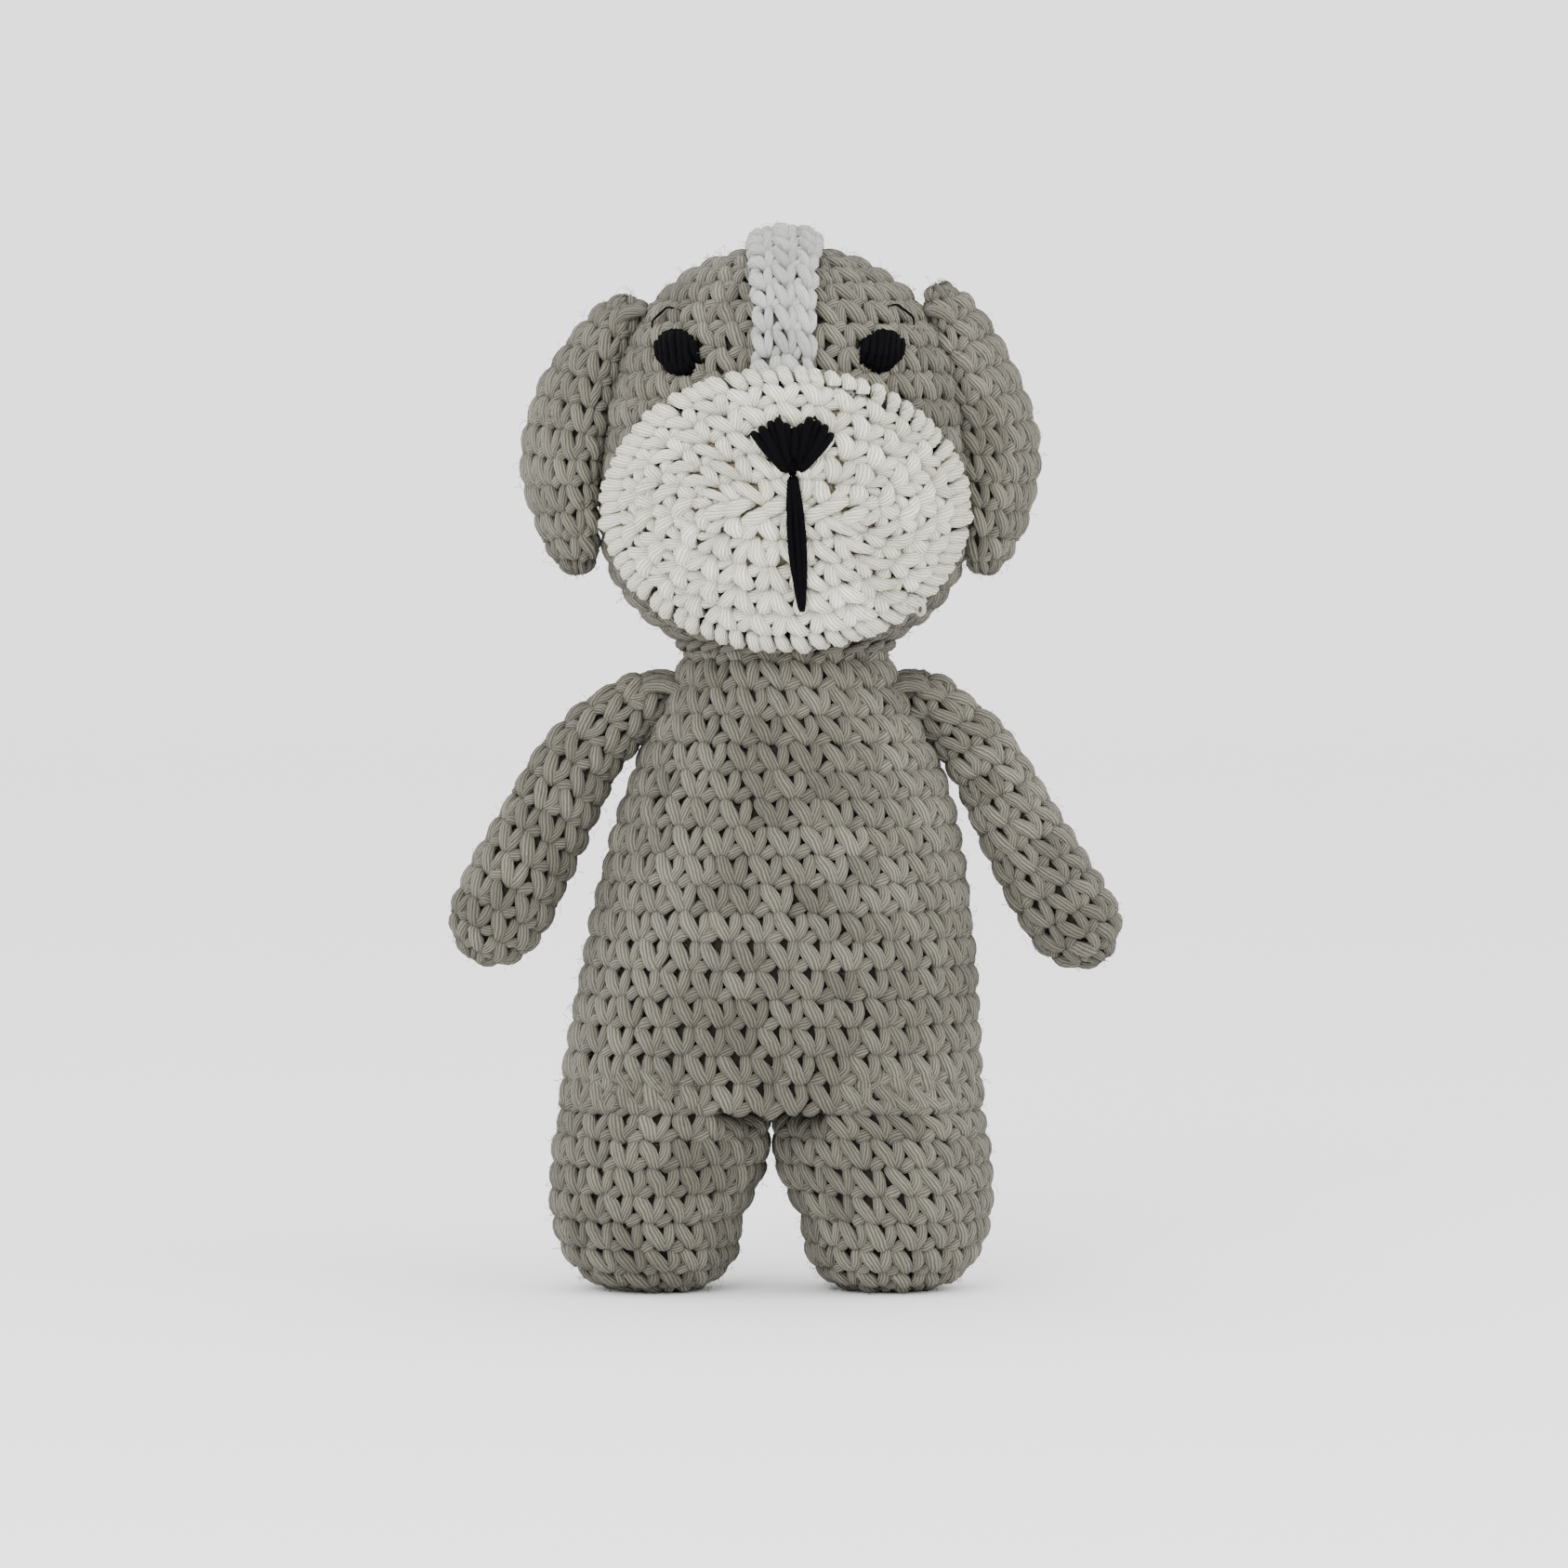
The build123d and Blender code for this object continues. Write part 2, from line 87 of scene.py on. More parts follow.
class Surface:
    """A skin laid over CAD nodes: rings of points along a path, evenly spaced by arc length.

    rays: for each ring a list of (centre, outward direction) pairs, one per step round the ring.
    """

    STEPS = 72

    def __init__(self, nodes, rays, reach, smooth=1.2, closed=True, shape=None):
        tree = solid_tree(nodes)
        self.closed = closed
        grid = np.zeros((len(rays), len(rays[0]), 3))
        for i, ring in enumerate(rays):
            for j, (centre, out) in enumerate(ring):
                origin = Vector(centre + out * reach)
                hit = tree.ray_cast(origin, Vector(-out), reach * 1.2)[0]
                grid[i, j] = centre if hit is None else hit
        grid = self.softened(grid, smooth)
        self.set_grid(shape(grid) if shape else grid)

    def softened(self, grid, amount):
        """Evens out small steps between CAD pieces, keeping the end rings."""
        for _ in range(int(amount * 5)):
            inner = 0.5 * grid[1:-1] + 0.25 * (grid[:-2] + grid[2:])
            grid = np.concatenate([grid[:1], inner, grid[-1:]])
            if self.closed:
                grid = 0.9 * grid + 0.05 * (np.roll(grid, 1, 1) + np.roll(grid, -1, 1))
        return grid

    def set_grid(self, grid):
        """Spaces the rings evenly along and round the skin and finds its normals."""
        grid = np.array([self.even_ring(ring) for ring in grid]) if self.closed else grid
        steps = np.linalg.norm(np.diff(grid, axis=0), axis=2).mean(1)
        run = np.concatenate([[0], np.cumsum(steps)])
        self.length = run[-1]
        self.rows = max(2, round(self.length / ROW))
        count = self.rows * 4 + 1
        want = np.linspace(0, self.length, count)
        even = np.zeros((count, grid.shape[1], 3))
        for j in range(grid.shape[1]):
            for k in range(3):
                even[:, j, k] = np.interp(want, run, grid[:, j, k])
        self.grid = even
        self.normal = self.normals()
        self.around = np.linalg.norm(np.diff(self.wrapped(even), axis=1), axis=2).sum(1)

    def wrapped(self, values):
        return np.concatenate([values, values[:, :1]], 1) if self.closed else values

    @staticmethod
    def even_ring(ring):
        """Spaces the points of a closed ring evenly, starting from its first point."""
        loop = np.vstack([ring, ring[:1]])
        run = np.concatenate([[0], np.cumsum(np.linalg.norm(np.diff(loop, axis=0), axis=1))])
        if run[-1] < 1e-5:
            return ring
        want = np.linspace(0, run[-1], len(ring) + 1)[:-1]
        return np.stack([np.interp(want, run, loop[:, k]) for k in range(3)], 1)

    def normals(self):
        along = np.gradient(self.grid, axis=0)
        if self.closed:
            across = np.roll(self.grid, -1, 1) - np.roll(self.grid, 1, 1)
        else:
            across = np.gradient(self.grid, axis=1)
        normal = np.cross(across, along)
        normal /= np.maximum(np.linalg.norm(normal, axis=2, keepdims=True), 1e-12)
        for end, near in ((0, 1), (-1, -2)):
            if self.closed and np.ptp(self.grid[end], axis=0).max() < 0.002:
                mean = normal[near].mean(0)
                normal[end] = mean / max(np.linalg.norm(mean), 1e-9)
        return normal

    def girth(self, row):
        """The distance round the skin halfway up a round."""
        place = np.clip((row + 0.5) * 4, 0, len(self.around) - 1)
        return float(np.interp(place, np.arange(len(self.around)), self.around))

    def at(self, row, turn, height):
        """Points on the skin: row and height may run past the ends; turn goes round once from 0 to 1."""
        last = len(self.grid) - 1
        place = np.clip(row * 4, 0, last - 1e-6)
        i = place.astype(int)
        f = (place - i)[:, None]
        steps = self.grid.shape[1]
        if self.closed:
            angle = (turn % 1.0) * steps
            j = angle.astype(int) % steps
            g = (angle - np.floor(angle))[:, None]
            k = (j + 1) % steps
        else:
            angle = turn * (steps - 1)
            j = np.clip(angle.astype(int), 0, steps - 2)
            g = (angle - j)[:, None]
            k = j + 1

        def blend(values):
            low = values[i, j] * (1 - g) + values[i, k] * g
            high = values[i + 1, j] * (1 - g) + values[i + 1, k] * g
            return low * (1 - f) + high * f

        point, normal = blend(self.grid), blend(self.normal)
        normal /= np.maximum(np.linalg.norm(normal, axis=1, keepdims=True), 1e-9)
        over = (row * 4 - place)[:, None]
        slope = self.grid[np.minimum(i + 1, last), j] - self.grid[i, j]
        return point + over * slope + normal * height[:, None]


# --- one stitch as strands of yarn ----------------------------------------------------------------
def smooth_path(points, count):
    """A Catmull-Rom curve through points, as count places."""
    points = np.array(points, float)
    ends = np.vstack([2 * points[0] - points[1], points, 2 * points[-1] - points[-2]])
    t = np.linspace(0, len(points) - 1 - 1e-9, count)
    i = t.astype(int)
    t = (t - i)[:, None]
    a, b, c, d = ends[i], ends[i + 1], ends[i + 2], ends[i + 3]
    return b + 0.5 * t * (c - a + t * (2 * a - 5 * b + 4 * c - d + t * (3 * (b - c) + d - a)))


def strand(points, radius, count=8, twist=1.1, taper=0.55, flute=0.06, around=AROUND):
    """A ridged tube along a path. Returns vertices and, for each, (cos, sin, run) for its plies."""
    path = smooth_path(points, count)
    along = np.gradient(path, axis=0)
    along /= np.maximum(np.linalg.norm(along, axis=1, keepdims=True), 1e-12)
    up = np.array([0.0, 0.0, 1.0])
    side = np.cross(along, up)
    weak = np.linalg.norm(side, axis=1, keepdims=True) < 0.2
    side = np.where(weak, np.array([1.0, 0.0, 0.0]), side)
    side /= np.linalg.norm(side, axis=1, keepdims=True)
    lift = np.cross(along, side)
    share = np.linspace(0, 1, count)
    size = radius * (taper + (1 - taper) * np.sin(np.pi * share) ** 0.7)
    angle = np.arange(around) / around * 2 * np.pi
    turn = angle[None, :] + twist * share[:, None]
    swell = 1 + flute * np.where(np.arange(around) % 2 == 0, 1, -1)[None, :]
    offset = side[:, None] * np.cos(turn)[..., None] + lift[:, None] * np.sin(turn)[..., None]
    verts = path[:, None] + offset * (size[:, None] * swell)[..., None]
    run = np.concatenate([[0], np.cumsum(np.linalg.norm(np.diff(path, axis=0), axis=1))])
    ply = np.zeros((count, around, 3))
    ply[..., 0], ply[..., 1] = np.cos(angle)[None], np.sin(angle)[None]
    ply[..., 2] = (run * 1000)[:, None]
    return verts.reshape(-1, 3), ply.reshape(-1, 3)


def strand_faces(count, around=AROUND):
    """Side quads and the two end caps of a tube."""
    i, j = np.meshgrid(np.arange(count - 1), np.arange(around), indexing="ij")
    a, b = i * around + j, i * around + (j + 1) % around
    quads = np.stack([a, b, b + around, a + around], -1).reshape(-1, 4)
    caps = [list(range(around))[::-1], [(count - 1) * around + k for k in range(around)]]
    return quads, caps


STITCH_RINGS = (9, 9, 6)  # rings of vertices along each of a stitch's strands


def stitch_variant(fat=1.0, bar_sink=0.0, tuck=1.0):
    """One single crochet: two bulging legs of a V that meet over a hole, and the short bar beside them."""
    def nudge(*point):
        return np.array(point) + random.normal(0, (0.022, 0.022, 0.03))

    left = [nudge(-0.50, 1.01, -1.0), nudge(-0.40, 0.82, 0.10), nudge(-0.19, 0.50, 0.45),
            nudge(0.01, 0.19, 0.10), nudge(0.09, 0.01, -1.0)]
    right = [nudge(0.17, 1.01, -1.0), nudge(0.25, 0.80, 0.06), nudge(0.27, 0.50, 0.38),
             nudge(0.21, 0.21, 0.05), nudge(0.14, 0.01, -1.0)]
    bar = [nudge(-0.70, -0.10, -1.0), nudge(-0.56, 0.06, 0.08), nudge(-0.40, 0.20, 0.24),
           nudge(-0.22, 0.30, -0.7)]
    scale = np.array([STITCH, ROW, YARN_R])
    for lobe in (left, right):
        for at in lobe:
            at[2] *= tuck if at[2] < 0 else 1.0
    thick = YARN_R * random.normal(1, 0.04, 3) * fat
    rings, taper = STITCH_RINGS, 0.62
    parts = [
        strand(np.array(left) * scale, thick[0] * 1.10, rings[0], random.normal(1.7, 0.2), taper),
        strand(np.array(right) * scale, thick[1] * 0.96, rings[1], random.normal(1.5, 0.2), taper),
        strand((np.array(bar) - (0, 0, bar_sink)) * scale, thick[2] * 0.92, rings[2],
               random.normal(1.2, 0.2), taper),
    ]
    return np.vstack([p[0] for p in parts]), np.vstack([p[1] for p in parts])


def stitch_faces():
    """The faces of all three strands of a stitch."""
    quads, caps, start = [], [], 0
    for count in STITCH_RINGS:
        q, c = strand_faces(count)
        quads.append(q + start)
        caps += [[k + start for k in cap] for cap in c]
        start += count * AROUND
    return np.vstack(quads), np.array(caps)


VARIANTS = [stitch_variant() for _ in range(10)]
OPEN_VARIANTS = [stitch_variant(1.04, 0.3, 1.5) for _ in range(10)]
STITCH_QUADS, STITCH_CAPS = stitch_faces()


def mesh_piece(name, verts, quads, caps, ply, look, material):
    """A mesh object from arrays, with its ply and look attributes on the vertices."""
    mesh = bpy.data.meshes.new(name)
    mesh.vertices.add(len(verts))
    mesh.vertices.foreach_set("co", np.asarray(verts, np.float32).ravel())
    loops = np.concatenate([quads.ravel(), caps.ravel()]) if len(caps) else quads.ravel()
    totals = np.concatenate([np.full(len(quads), 4), np.full(len(caps), caps.shape[1] if len(caps) else 4)])
    starts = np.concatenate([[0], np.cumsum(totals)[:-1]])
    mesh.loops.add(len(loops))
    mesh.loops.foreach_set("vertex_index", loops.astype(np.int32))
    mesh.polygons.add(len(totals))
    mesh.polygons.foreach_set("loop_start", starts.astype(np.int32))
    mesh.polygons.foreach_set("loop_total", totals.astype(np.int32))
    mesh.update(calc_edges=True)
    mesh.validate()
    for key, values in (("ply", ply), ("look", look)):
        attribute = mesh.attributes.new(key, "FLOAT_VECTOR", "POINT")
        attribute.data.foreach_set("vector", np.asarray(values, np.float32).ravel())
    mesh.polygons.foreach_set("use_smooth", np.ones(len(mesh.polygons), bool))
    mesh.materials.append(material)
    piece = bpy.data.objects.new(name, mesh)
    bpy.context.scene.collection.objects.link(piece)
    return piece


def crochet(name, surface, material, sink=0.0012, keep=None, width=STITCH, variants=VARIANTS, groove=0.0):
    """Works rounds of single crochet over a skin; returns the pieces, each small enough to hand on whole.

    sink: how far the middle of the yarn lies under the skin; groove: how much deeper it lies between two
    rounds; keep tests a stitch's centre.
    """
    cells = []
    phase = random.random()
    for row in range(surface.rows):
        girth = surface.girth(row)
        if surface.closed:
            count = max(6, round(girth / width))
            phase += LEAN / count
        else:
            count = max(1, round(girth / width))
            phase = 0.5 / count
        for i in range(count):
            cells.append((row, i / count + phase, count, random.normal(0, 1, 6)))
    if keep:
        centre = surface.at(np.array([c[0] + 0.5 for c in cells]), np.array([c[1] for c in cells]),
                            np.zeros(len(cells)))
        cells = [cell for cell, place in zip(cells, centre) if keep(place)]
    per_stitch = len(STITCH_QUADS) * 2 + len(STITCH_CAPS) * (AROUND - 2)
    per_piece = MOST_TRIANGLES // per_stitch
    pieces = []
    for start in range(0, len(cells), per_piece):
        verts, plies, tints_and_shades = [], [], []
        for row, turn, count, noise in cells[start:start + per_piece]:
            shape, ply = variants[int(abs(noise[0]) * 997) % len(variants)]
            a = shape[:, 0] / STITCH + noise[1] * UNEVEN[0]
            b = shape[:, 1] / ROW + noise[2] * UNEVEN[1]
            size = 1 + noise[3] * UNEVEN[2]
            height = shape[:, 2] * size * FLATTEN - sink - groove * (0.5 + 0.5 * np.cos(2 * math.pi * b))
            verts.append(surface.at(row + b, turn + a / count, height))
            plies.append(ply)
            look = np.zeros((len(shape), 3))
            look[:, 0], look[:, 1] = noise[4], noise[5]
            # how high this point of the yarn lies; the material paints shade where it lies low, tucked into a
            # hole
            look[:, 2] = np.clip(shape[:, 2] / YARN_R + 0.9, 0, 2)
            tints_and_shades.append(look)
        n = len(verts)
        offset = np.arange(n) * len(verts[0])
        quads = (STITCH_QUADS[None] + offset[:, None, None]).reshape(-1, 4)
        caps = (STITCH_CAPS[None] + offset[:, None, None]).reshape(-1, AROUND)
        pieces.append(mesh_piece(f"{name}_{len(pieces)}", np.vstack(verts), quads, caps, np.vstack(plies),
                                 np.vstack(tints_and_shades), material))
    return pieces


def painted_shade_sheet(name, surface, material, sink=0.0022):
    """A closed dark sheet just under the stitches, seen only down the holes, where it is painted shade."""
    points = surface.grid - surface.normal * sink
    if not surface.closed:
        points = np.concatenate([points, (surface.grid - surface.normal * 2 * sink)[:, ::-1]], 1)
    rows, steps = points.shape[:2]
    verts = points.reshape(-1, 3)
    i, j = np.meshgrid(np.arange(rows - 1), np.arange(steps), indexing="ij")
    a, b = i * steps + j, i * steps + (j + 1) % steps
    quads = np.stack([a, b, b + steps, a + steps], -1).reshape(-1, 4)
    caps = np.array([list(range(steps))[::-1], [(rows - 1) * steps + k for k in range(steps)]])
    ply = np.zeros((len(verts), 3))
    # the shade value stays zero, so the whole sheet takes the painted hole shade colour of its material
    piece = mesh_piece(name, verts, quads, caps, ply, ply, material)
    shape = bmesh.new()
    shape.from_mesh(piece.data)
    bmesh.ops.remove_doubles(shape, verts=shape.verts, dist=1e-5)
    bmesh.ops.recalc_face_normals(shape, faces=shape.faces)
    shape.to_mesh(piece.data)
    shape.free()
    return piece


def fuzz(name, surface, material, per_area=0.055, keep=None):
    """Loose fibre ends that stand off the yarn; per_area is the count for each square millimetre of skin."""
    area = float(surface.around.mean()) * surface.length * 1e6
    verts, plies, quads, caps = [], [], [], []
    side_faces, end_faces = strand_faces(5, HAIR_SIDES)
    for _ in range(int(area * per_area)):
        row, turn = random.random() * surface.rows, random.random()
        drift = random.normal(0, 1, (4, 2)).cumsum(0) * 0.10
        lift = np.array([-0.0008, 0.0004, 0.0008, 0.0010 + abs(random.normal(0, 0.0005)), 0.0009])
        size = random.uniform(0.5, 1.2)
        steps = np.vstack([[0, 0], drift]) * size
        around = max(surface.girth(row), 0.004) / STITCH
        path = surface.at(row + steps[:, 1], turn + steps[:, 0] / around, lift * size)
        if keep and not keep(path[2]):
            continue
        v, p = strand(path, HAIR_R, 5, 0.0, 0.5, 0.0, HAIR_SIDES)
        quads.append(side_faces + len(verts) * len(v))
        caps.append(np.array(end_faces) + len(verts) * len(v))
        verts.append(v)
        plies.append(p)
    look = np.zeros((len(verts) * len(verts[0]), 3))
    # high enough that the material paints no shade on the loose fibres
    look[:, 2] = 1.6
    return mesh_piece(name, np.vstack(verts), np.vstack(quads), np.vstack(caps), np.vstack(plies), look,
                      material)


# --- rays that find each skin ---------------------------------------------------------------------
def circle(first, second, steps=Surface.STEPS):
    """Directions all round, from first toward second."""
    angle = np.arange(steps) / steps * 2 * np.pi
    return np.cos(angle)[:, None] * first + np.sin(angle)[:, None] * second


def across_frame(direction, first):
    """first made square to direction, and the third axis, so that first x third = direction."""
    direction = direction / np.linalg.norm(direction)
    first = first - direction * (first @ direction)
    first = first / np.linalg.norm(first)
    return first, np.cross(direction, first)


def fan(centre, axis, along, first, start, end, count):
    """Rings of rays about one point, leaning from the axis by start to end degrees."""
    axis = axis / np.linalg.norm(axis)
    first, second = across_frame(along, first)
    rings = []
    for lean in np.radians(np.linspace(start, end, count)):
        out = np.cos(lean) * axis + np.sin(lean) * circle(first, second)
        rings.append([(centre, o) for o in out])
    return rings


def tube(path, first):
    """Rings of rays square to a path."""
    along = np.gradient(path, axis=0)
    rings = []
    for centre, direction in zip(path, along):
        a, b = across_frame(direction, first)
        rings.append([(centre, o) for o in circle(a, b)])
    return rings


def spine(node, start, end, inset_start, inset_end, first, count=14):
    """The middle line of a long CAD cover, from near start to near end."""
    tree = solid_tree([node])
    direction = (end - start) / np.linalg.norm(end - start)
    verts = np.array([v.co for v in frame["nodes"][node].data.vertices])
    place = (verts - start) @ direction
    low, high = place.min() + inset_start, place.max() - inset_end
    path = []
    for at in np.linspace(low, high, count):
        near = verts[np.abs(place - at) < 0.006]
        middle = (near.max(0) + near.min(0)) / 2
        path.append(middle + direction * (at - (middle - start) @ direction))
    path = np.array(path)
    a, b = across_frame(direction, first)
    for _ in range(3):
        for i, centre in enumerate(path):
            hits = []
            for out in circle(a, b, 24):
                hit = tree.ray_cast(Vector(centre + out * LIMB_REACH), Vector(-out), 0.04)[0]
                if hit is not None:
                    hits.append(hit)
            if len(hits) > 16:
                hits = np.array(hits)
                path[i] = (hits.max(0) + hits.min(0)) / 2
                path[i] += direction * ((centre - path[i]) @ direction)
    return path


def limb_rays(path, first):
    """Rays for a limb closed at both ends, from its tip to its root."""
    start, end = path[1] - path[0], path[-1] - path[-2]
    return (fan(path[0], -start, start, first, 2, 84, 12) + tube(path, first)
            + fan(path[-1], end, end, first, 84, 2, 12))


# --- materials ------------------------------------------------------------------------------------
def node(tree, kind, inputs=(), **settings):
    """A shader node with its inputs set, or linked where the value is a socket."""
    made = tree.nodes.new(kind)
    for key, value in settings.items():
        setattr(made, key, value)
    for socket, value in dict(inputs).items():
        if isinstance(value, bpy.types.NodeSocket):
            tree.links.new(value, made.inputs[socket])
        else:
            made.inputs[socket].default_value = value
    return made


def maths(tree, operation, a, b=0.0, c=0.0):
    """The output of a Math node."""
    made = tree.nodes.new("ShaderNodeMath")
    made.operation = operation
    for socket, value in zip(made.inputs, (a, b, c)):
        if isinstance(value, bpy.types.NodeSocket):
            tree.links.new(value, socket)
        else:
            socket.default_value = value
    return made.outputs[0]


def yarn(name, shades, deep, tint, rough=0.85, sheen=0.35, lines=13, line_depth=0.25, contrast=0.22,
         bump=0.35):
    """Plied cotton: fine lines along the strand with painted shade between the plies, colour that drifts from
    stitch to stitch, and painted shade down in the holes.

    shades: the yarn's darker and lighter colour; deep: the painted shade it takes down in the holes; tint:
    how much stitches differ; lines: how many fine lines lie round a strand, painted as shade between the
    plies; line_depth: how dark that painted shade is.
    """
    material = bpy.data.materials.new(name)
    material.use_nodes = True
    tree = material.node_tree
    shader = tree.nodes["Principled BSDF"]
    place = node(tree, "ShaderNodeTexCoord").outputs["Object"]
    ply = node(tree, "ShaderNodeAttribute", attribute_name="ply").outputs["Vector"]
    look = node(tree, "ShaderNodeAttribute", attribute_name="look").outputs["Vector"]
    p = node(tree, "ShaderNodeSeparateXYZ", {0: ply}).outputs
    k = node(tree, "ShaderNodeSeparateXYZ", {0: look}).outputs
    angle = maths(tree, "ARCTAN2", p[1], p[0])
    # fibres wander, so the fine lines do too
    wander = node(tree, "ShaderNodeTexNoise", {"Vector": place, "Scale": 420.0, "Detail": 2.0}).outputs[0]
    line = maths(tree, "MULTIPLY_ADD", angle, float(lines), maths(tree, "MULTIPLY", wander, 5.0))
    line = maths(tree, "SINE", line)
    cosine, sine = maths(tree, "MULTIPLY", p[0], 3.2), maths(tree, "MULTIPLY", p[1], 3.2)
    drift = maths(tree, "MULTIPLY", p[2], 0.32)
    along = node(tree, "ShaderNodeCombineXYZ", {0: cosine, 1: sine, 2: drift}).outputs[0]
    shift = node(tree, "ShaderNodeVectorMath", {0: along, 1: look}, operation="ADD").outputs[0]
    fibre = node(tree, "ShaderNodeTexNoise",
                 {"Vector": shift, "Scale": 3.0, "Detail": 4.0, "Roughness": 0.7}).outputs[0]
    broad = node(tree, "ShaderNodeTexNoise", {"Vector": place, "Scale": 28.0, "Detail": 2.0}).outputs[0]
    # from stitch to stitch and over the toy, the yarn drifts between its shades
    blend = maths(tree, "MULTIPLY_ADD", k[0], 0.10, broad)
    blend = maths(tree, "MULTIPLY_ADD", fibre, 0.5, maths(tree, "SUBTRACT", blend, 0.25))
    ramp = node(tree, "ShaderNodeValToRGB", {0: blend})
    for stop, place_on, shade in zip(ramp.color_ramp.elements, (0.3, 0.72), shades):
        stop.position, stop.color = place_on, (*shade, 1)
    # painted shade: the fine lines darken the colour in the grooves between the plies and lighten it on them,
    # besides their bump; the fibre noise and the stitch tint are tone that differs at random
    light = maths(tree, "MULTIPLY_ADD", line, line_depth * 0.5, 1 - line_depth * 0.25)
    light = maths(tree, "MULTIPLY", light, maths(tree, "MULTIPLY_ADD", fibre, contrast * 2, 1 - contrast))
    light = maths(tree, "MULTIPLY", light, maths(tree, "MULTIPLY_ADD", k[1], tint, 1.0))
    lit = node(tree, "ShaderNodeVectorMath", {0: ramp.outputs[0], "Scale": light},
               operation="SCALE").outputs[0]
    # painted shade: the lower the yarn lies toward a hole, the more its colour is mixed toward deep
    painted_shade_mix = node(tree, "ShaderNodeMapRange", {"Value": k[2], "From Min": 0.0, "From Max": 1.15},
                 interpolation_type="SMOOTHSTEP").outputs[0]
    colour = node(tree, "ShaderNodeMix", {0: painted_shade_mix}, data_type="RGBA")
    for socket in colour.inputs:
        if socket.type == "RGBA" and socket.name == "A":
            socket.default_value = (*deep, 1)
        if socket.type == "RGBA" and socket.name == "B":
            tree.links.new(lit, socket)
    out = [o for o in colour.outputs if o.type == "RGBA"][0]
    tree.links.new(out, shader.inputs["Base Color"])
    relief = maths(tree, "MULTIPLY_ADD", line, 0.5, maths(tree, "MULTIPLY", fibre, 1.4))
    raised = node(tree, "ShaderNodeBump", {"Height": relief, "Strength": bump, "Distance": 0.0003})
    tree.links.new(raised.outputs[0], shader.inputs["Normal"])
    shader.inputs["Roughness"].default_value = rough
    shader.inputs["Specular IOR Level"].default_value = 0.25
    shader.inputs["Sheen Weight"].default_value = sheen
    shader.inputs["Sheen Roughness"].default_value = 0.5
    return material


# the third colour of each yarn is the painted shade it takes down in the holes
grey = yarn("grey_yarn", ((0.122, 0.112, 0.082), (0.218, 0.204, 0.158)), (0.020, 0.015, 0.009), 0.06,
            line_depth=0.85, contrast=0.42, bump=1.0, sheen=0.12)
white = yarn("white_yarn", ((0.72, 0.70, 0.56), (0.95, 0.935, 0.81)), (0.10, 0.082, 0.045), 0.04,
             contrast=0.22, line_depth=0.55, bump=1.0, sheen=0.10)
# a duller, greyer white than the muzzle's, for the stripe
dull_white = yarn("worn_white_yarn", ((0.34, 0.345, 0.33), (0.52, 0.525, 0.51)), (0.10, 0.095, 0.075), 0.04,
                  contrast=0.16, line_depth=0.3, bump=0.8, sheen=0.2)
black = yarn("black_thread", ((0.0010, 0.0010, 0.0015), (0.0022, 0.0022, 0.0028)), (0.0004, 0.0004, 0.0004),
             0.1, rough=0.7, sheen=0.0, lines=14)
black.node_tree.nodes["Principled BSDF"].inputs["Specular IOR Level"].default_value = 0.03
# dark sheets under the stitches: painted shade that shows down the holes
shade_sheet_grey = yarn("grey_lining", ((0.025, 0.02, 0.014), (0.04, 0.033, 0.025)), (0.02, 0.016, 0.012), 0.0,
                   sheen=0.0)
shade_sheet_white = yarn("white_lining", ((0.26, 0.23, 0.16), (0.36, 0.32, 0.24)), (0.2, 0.17, 0.12), 0.0,
                    sheen=0.0)


# --- the skins ------------------------------------------------------------------------------------
UP = np.array([0.0, 0.0, 1.0])
LEFT = np.array([1.0, 0.0, 0.0])
BACK = np.array([0.0, 1.0, 0.0])
joints = {joint["name"]: joint for joint in frame["record"]["behaviour"]["joints"]}


def joint_at(name):
    """The place of a joint in the record."""
    return np.array(joints[name]["pos_m"], float)


def box(node_name):
    """The low and high corner of a CAD node."""
    low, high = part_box(node_name)
    return np.array(low), np.array(high)


neck_at, hip_at = joint_at("neck_turn"), joint_at("left_hip")
MID = neck_at[1]      # the plane through the neck's axis, hips and shoulders
head_low = box("head_cover")[0]
legs_top = hip_at[2] + 0.004

pieces = {}


def dress(part, surface, material, lining, keep=None, **work):
    """Crochet, loose fibres and a dark sheet of painted shade under the holes, for one part of the toy."""
    pieces[part] = crochet(part, surface, material, keep=keep, **work)
    pieces[f"{part}_fuzz"] = [fuzz(f"{part}_fuzz", surface, material, keep=keep)]
    pieces[f"{part}_lining"] = [painted_shade_sheet(f"{part}_lining", surface, lining)]


# trunk: level rings up to the neck, then over the neck's ball to under the head
levels = np.linspace(legs_top - 0.002, neck_at[2] + 0.005, 40)
path = [np.array([(-0.0029 + 0.0045 * t) * (1 - t) + 0.0006 * t, MID, z])
        for t, z in zip(np.linspace(0, 1, 40), levels)]
trunk_rays = [[(c, o) for o in circle(LEFT, BACK)] for c in path]
trunk_rays += fan(neck_at, UP, UP, LEFT, 68, 40, 8)
trunk = Surface(["torso_cover", "left_leg_cover", "right_leg_cover", "neck_stuffing"], trunk_rays, REACH)
dress("trunk", trunk, grey, shade_sheet_grey)

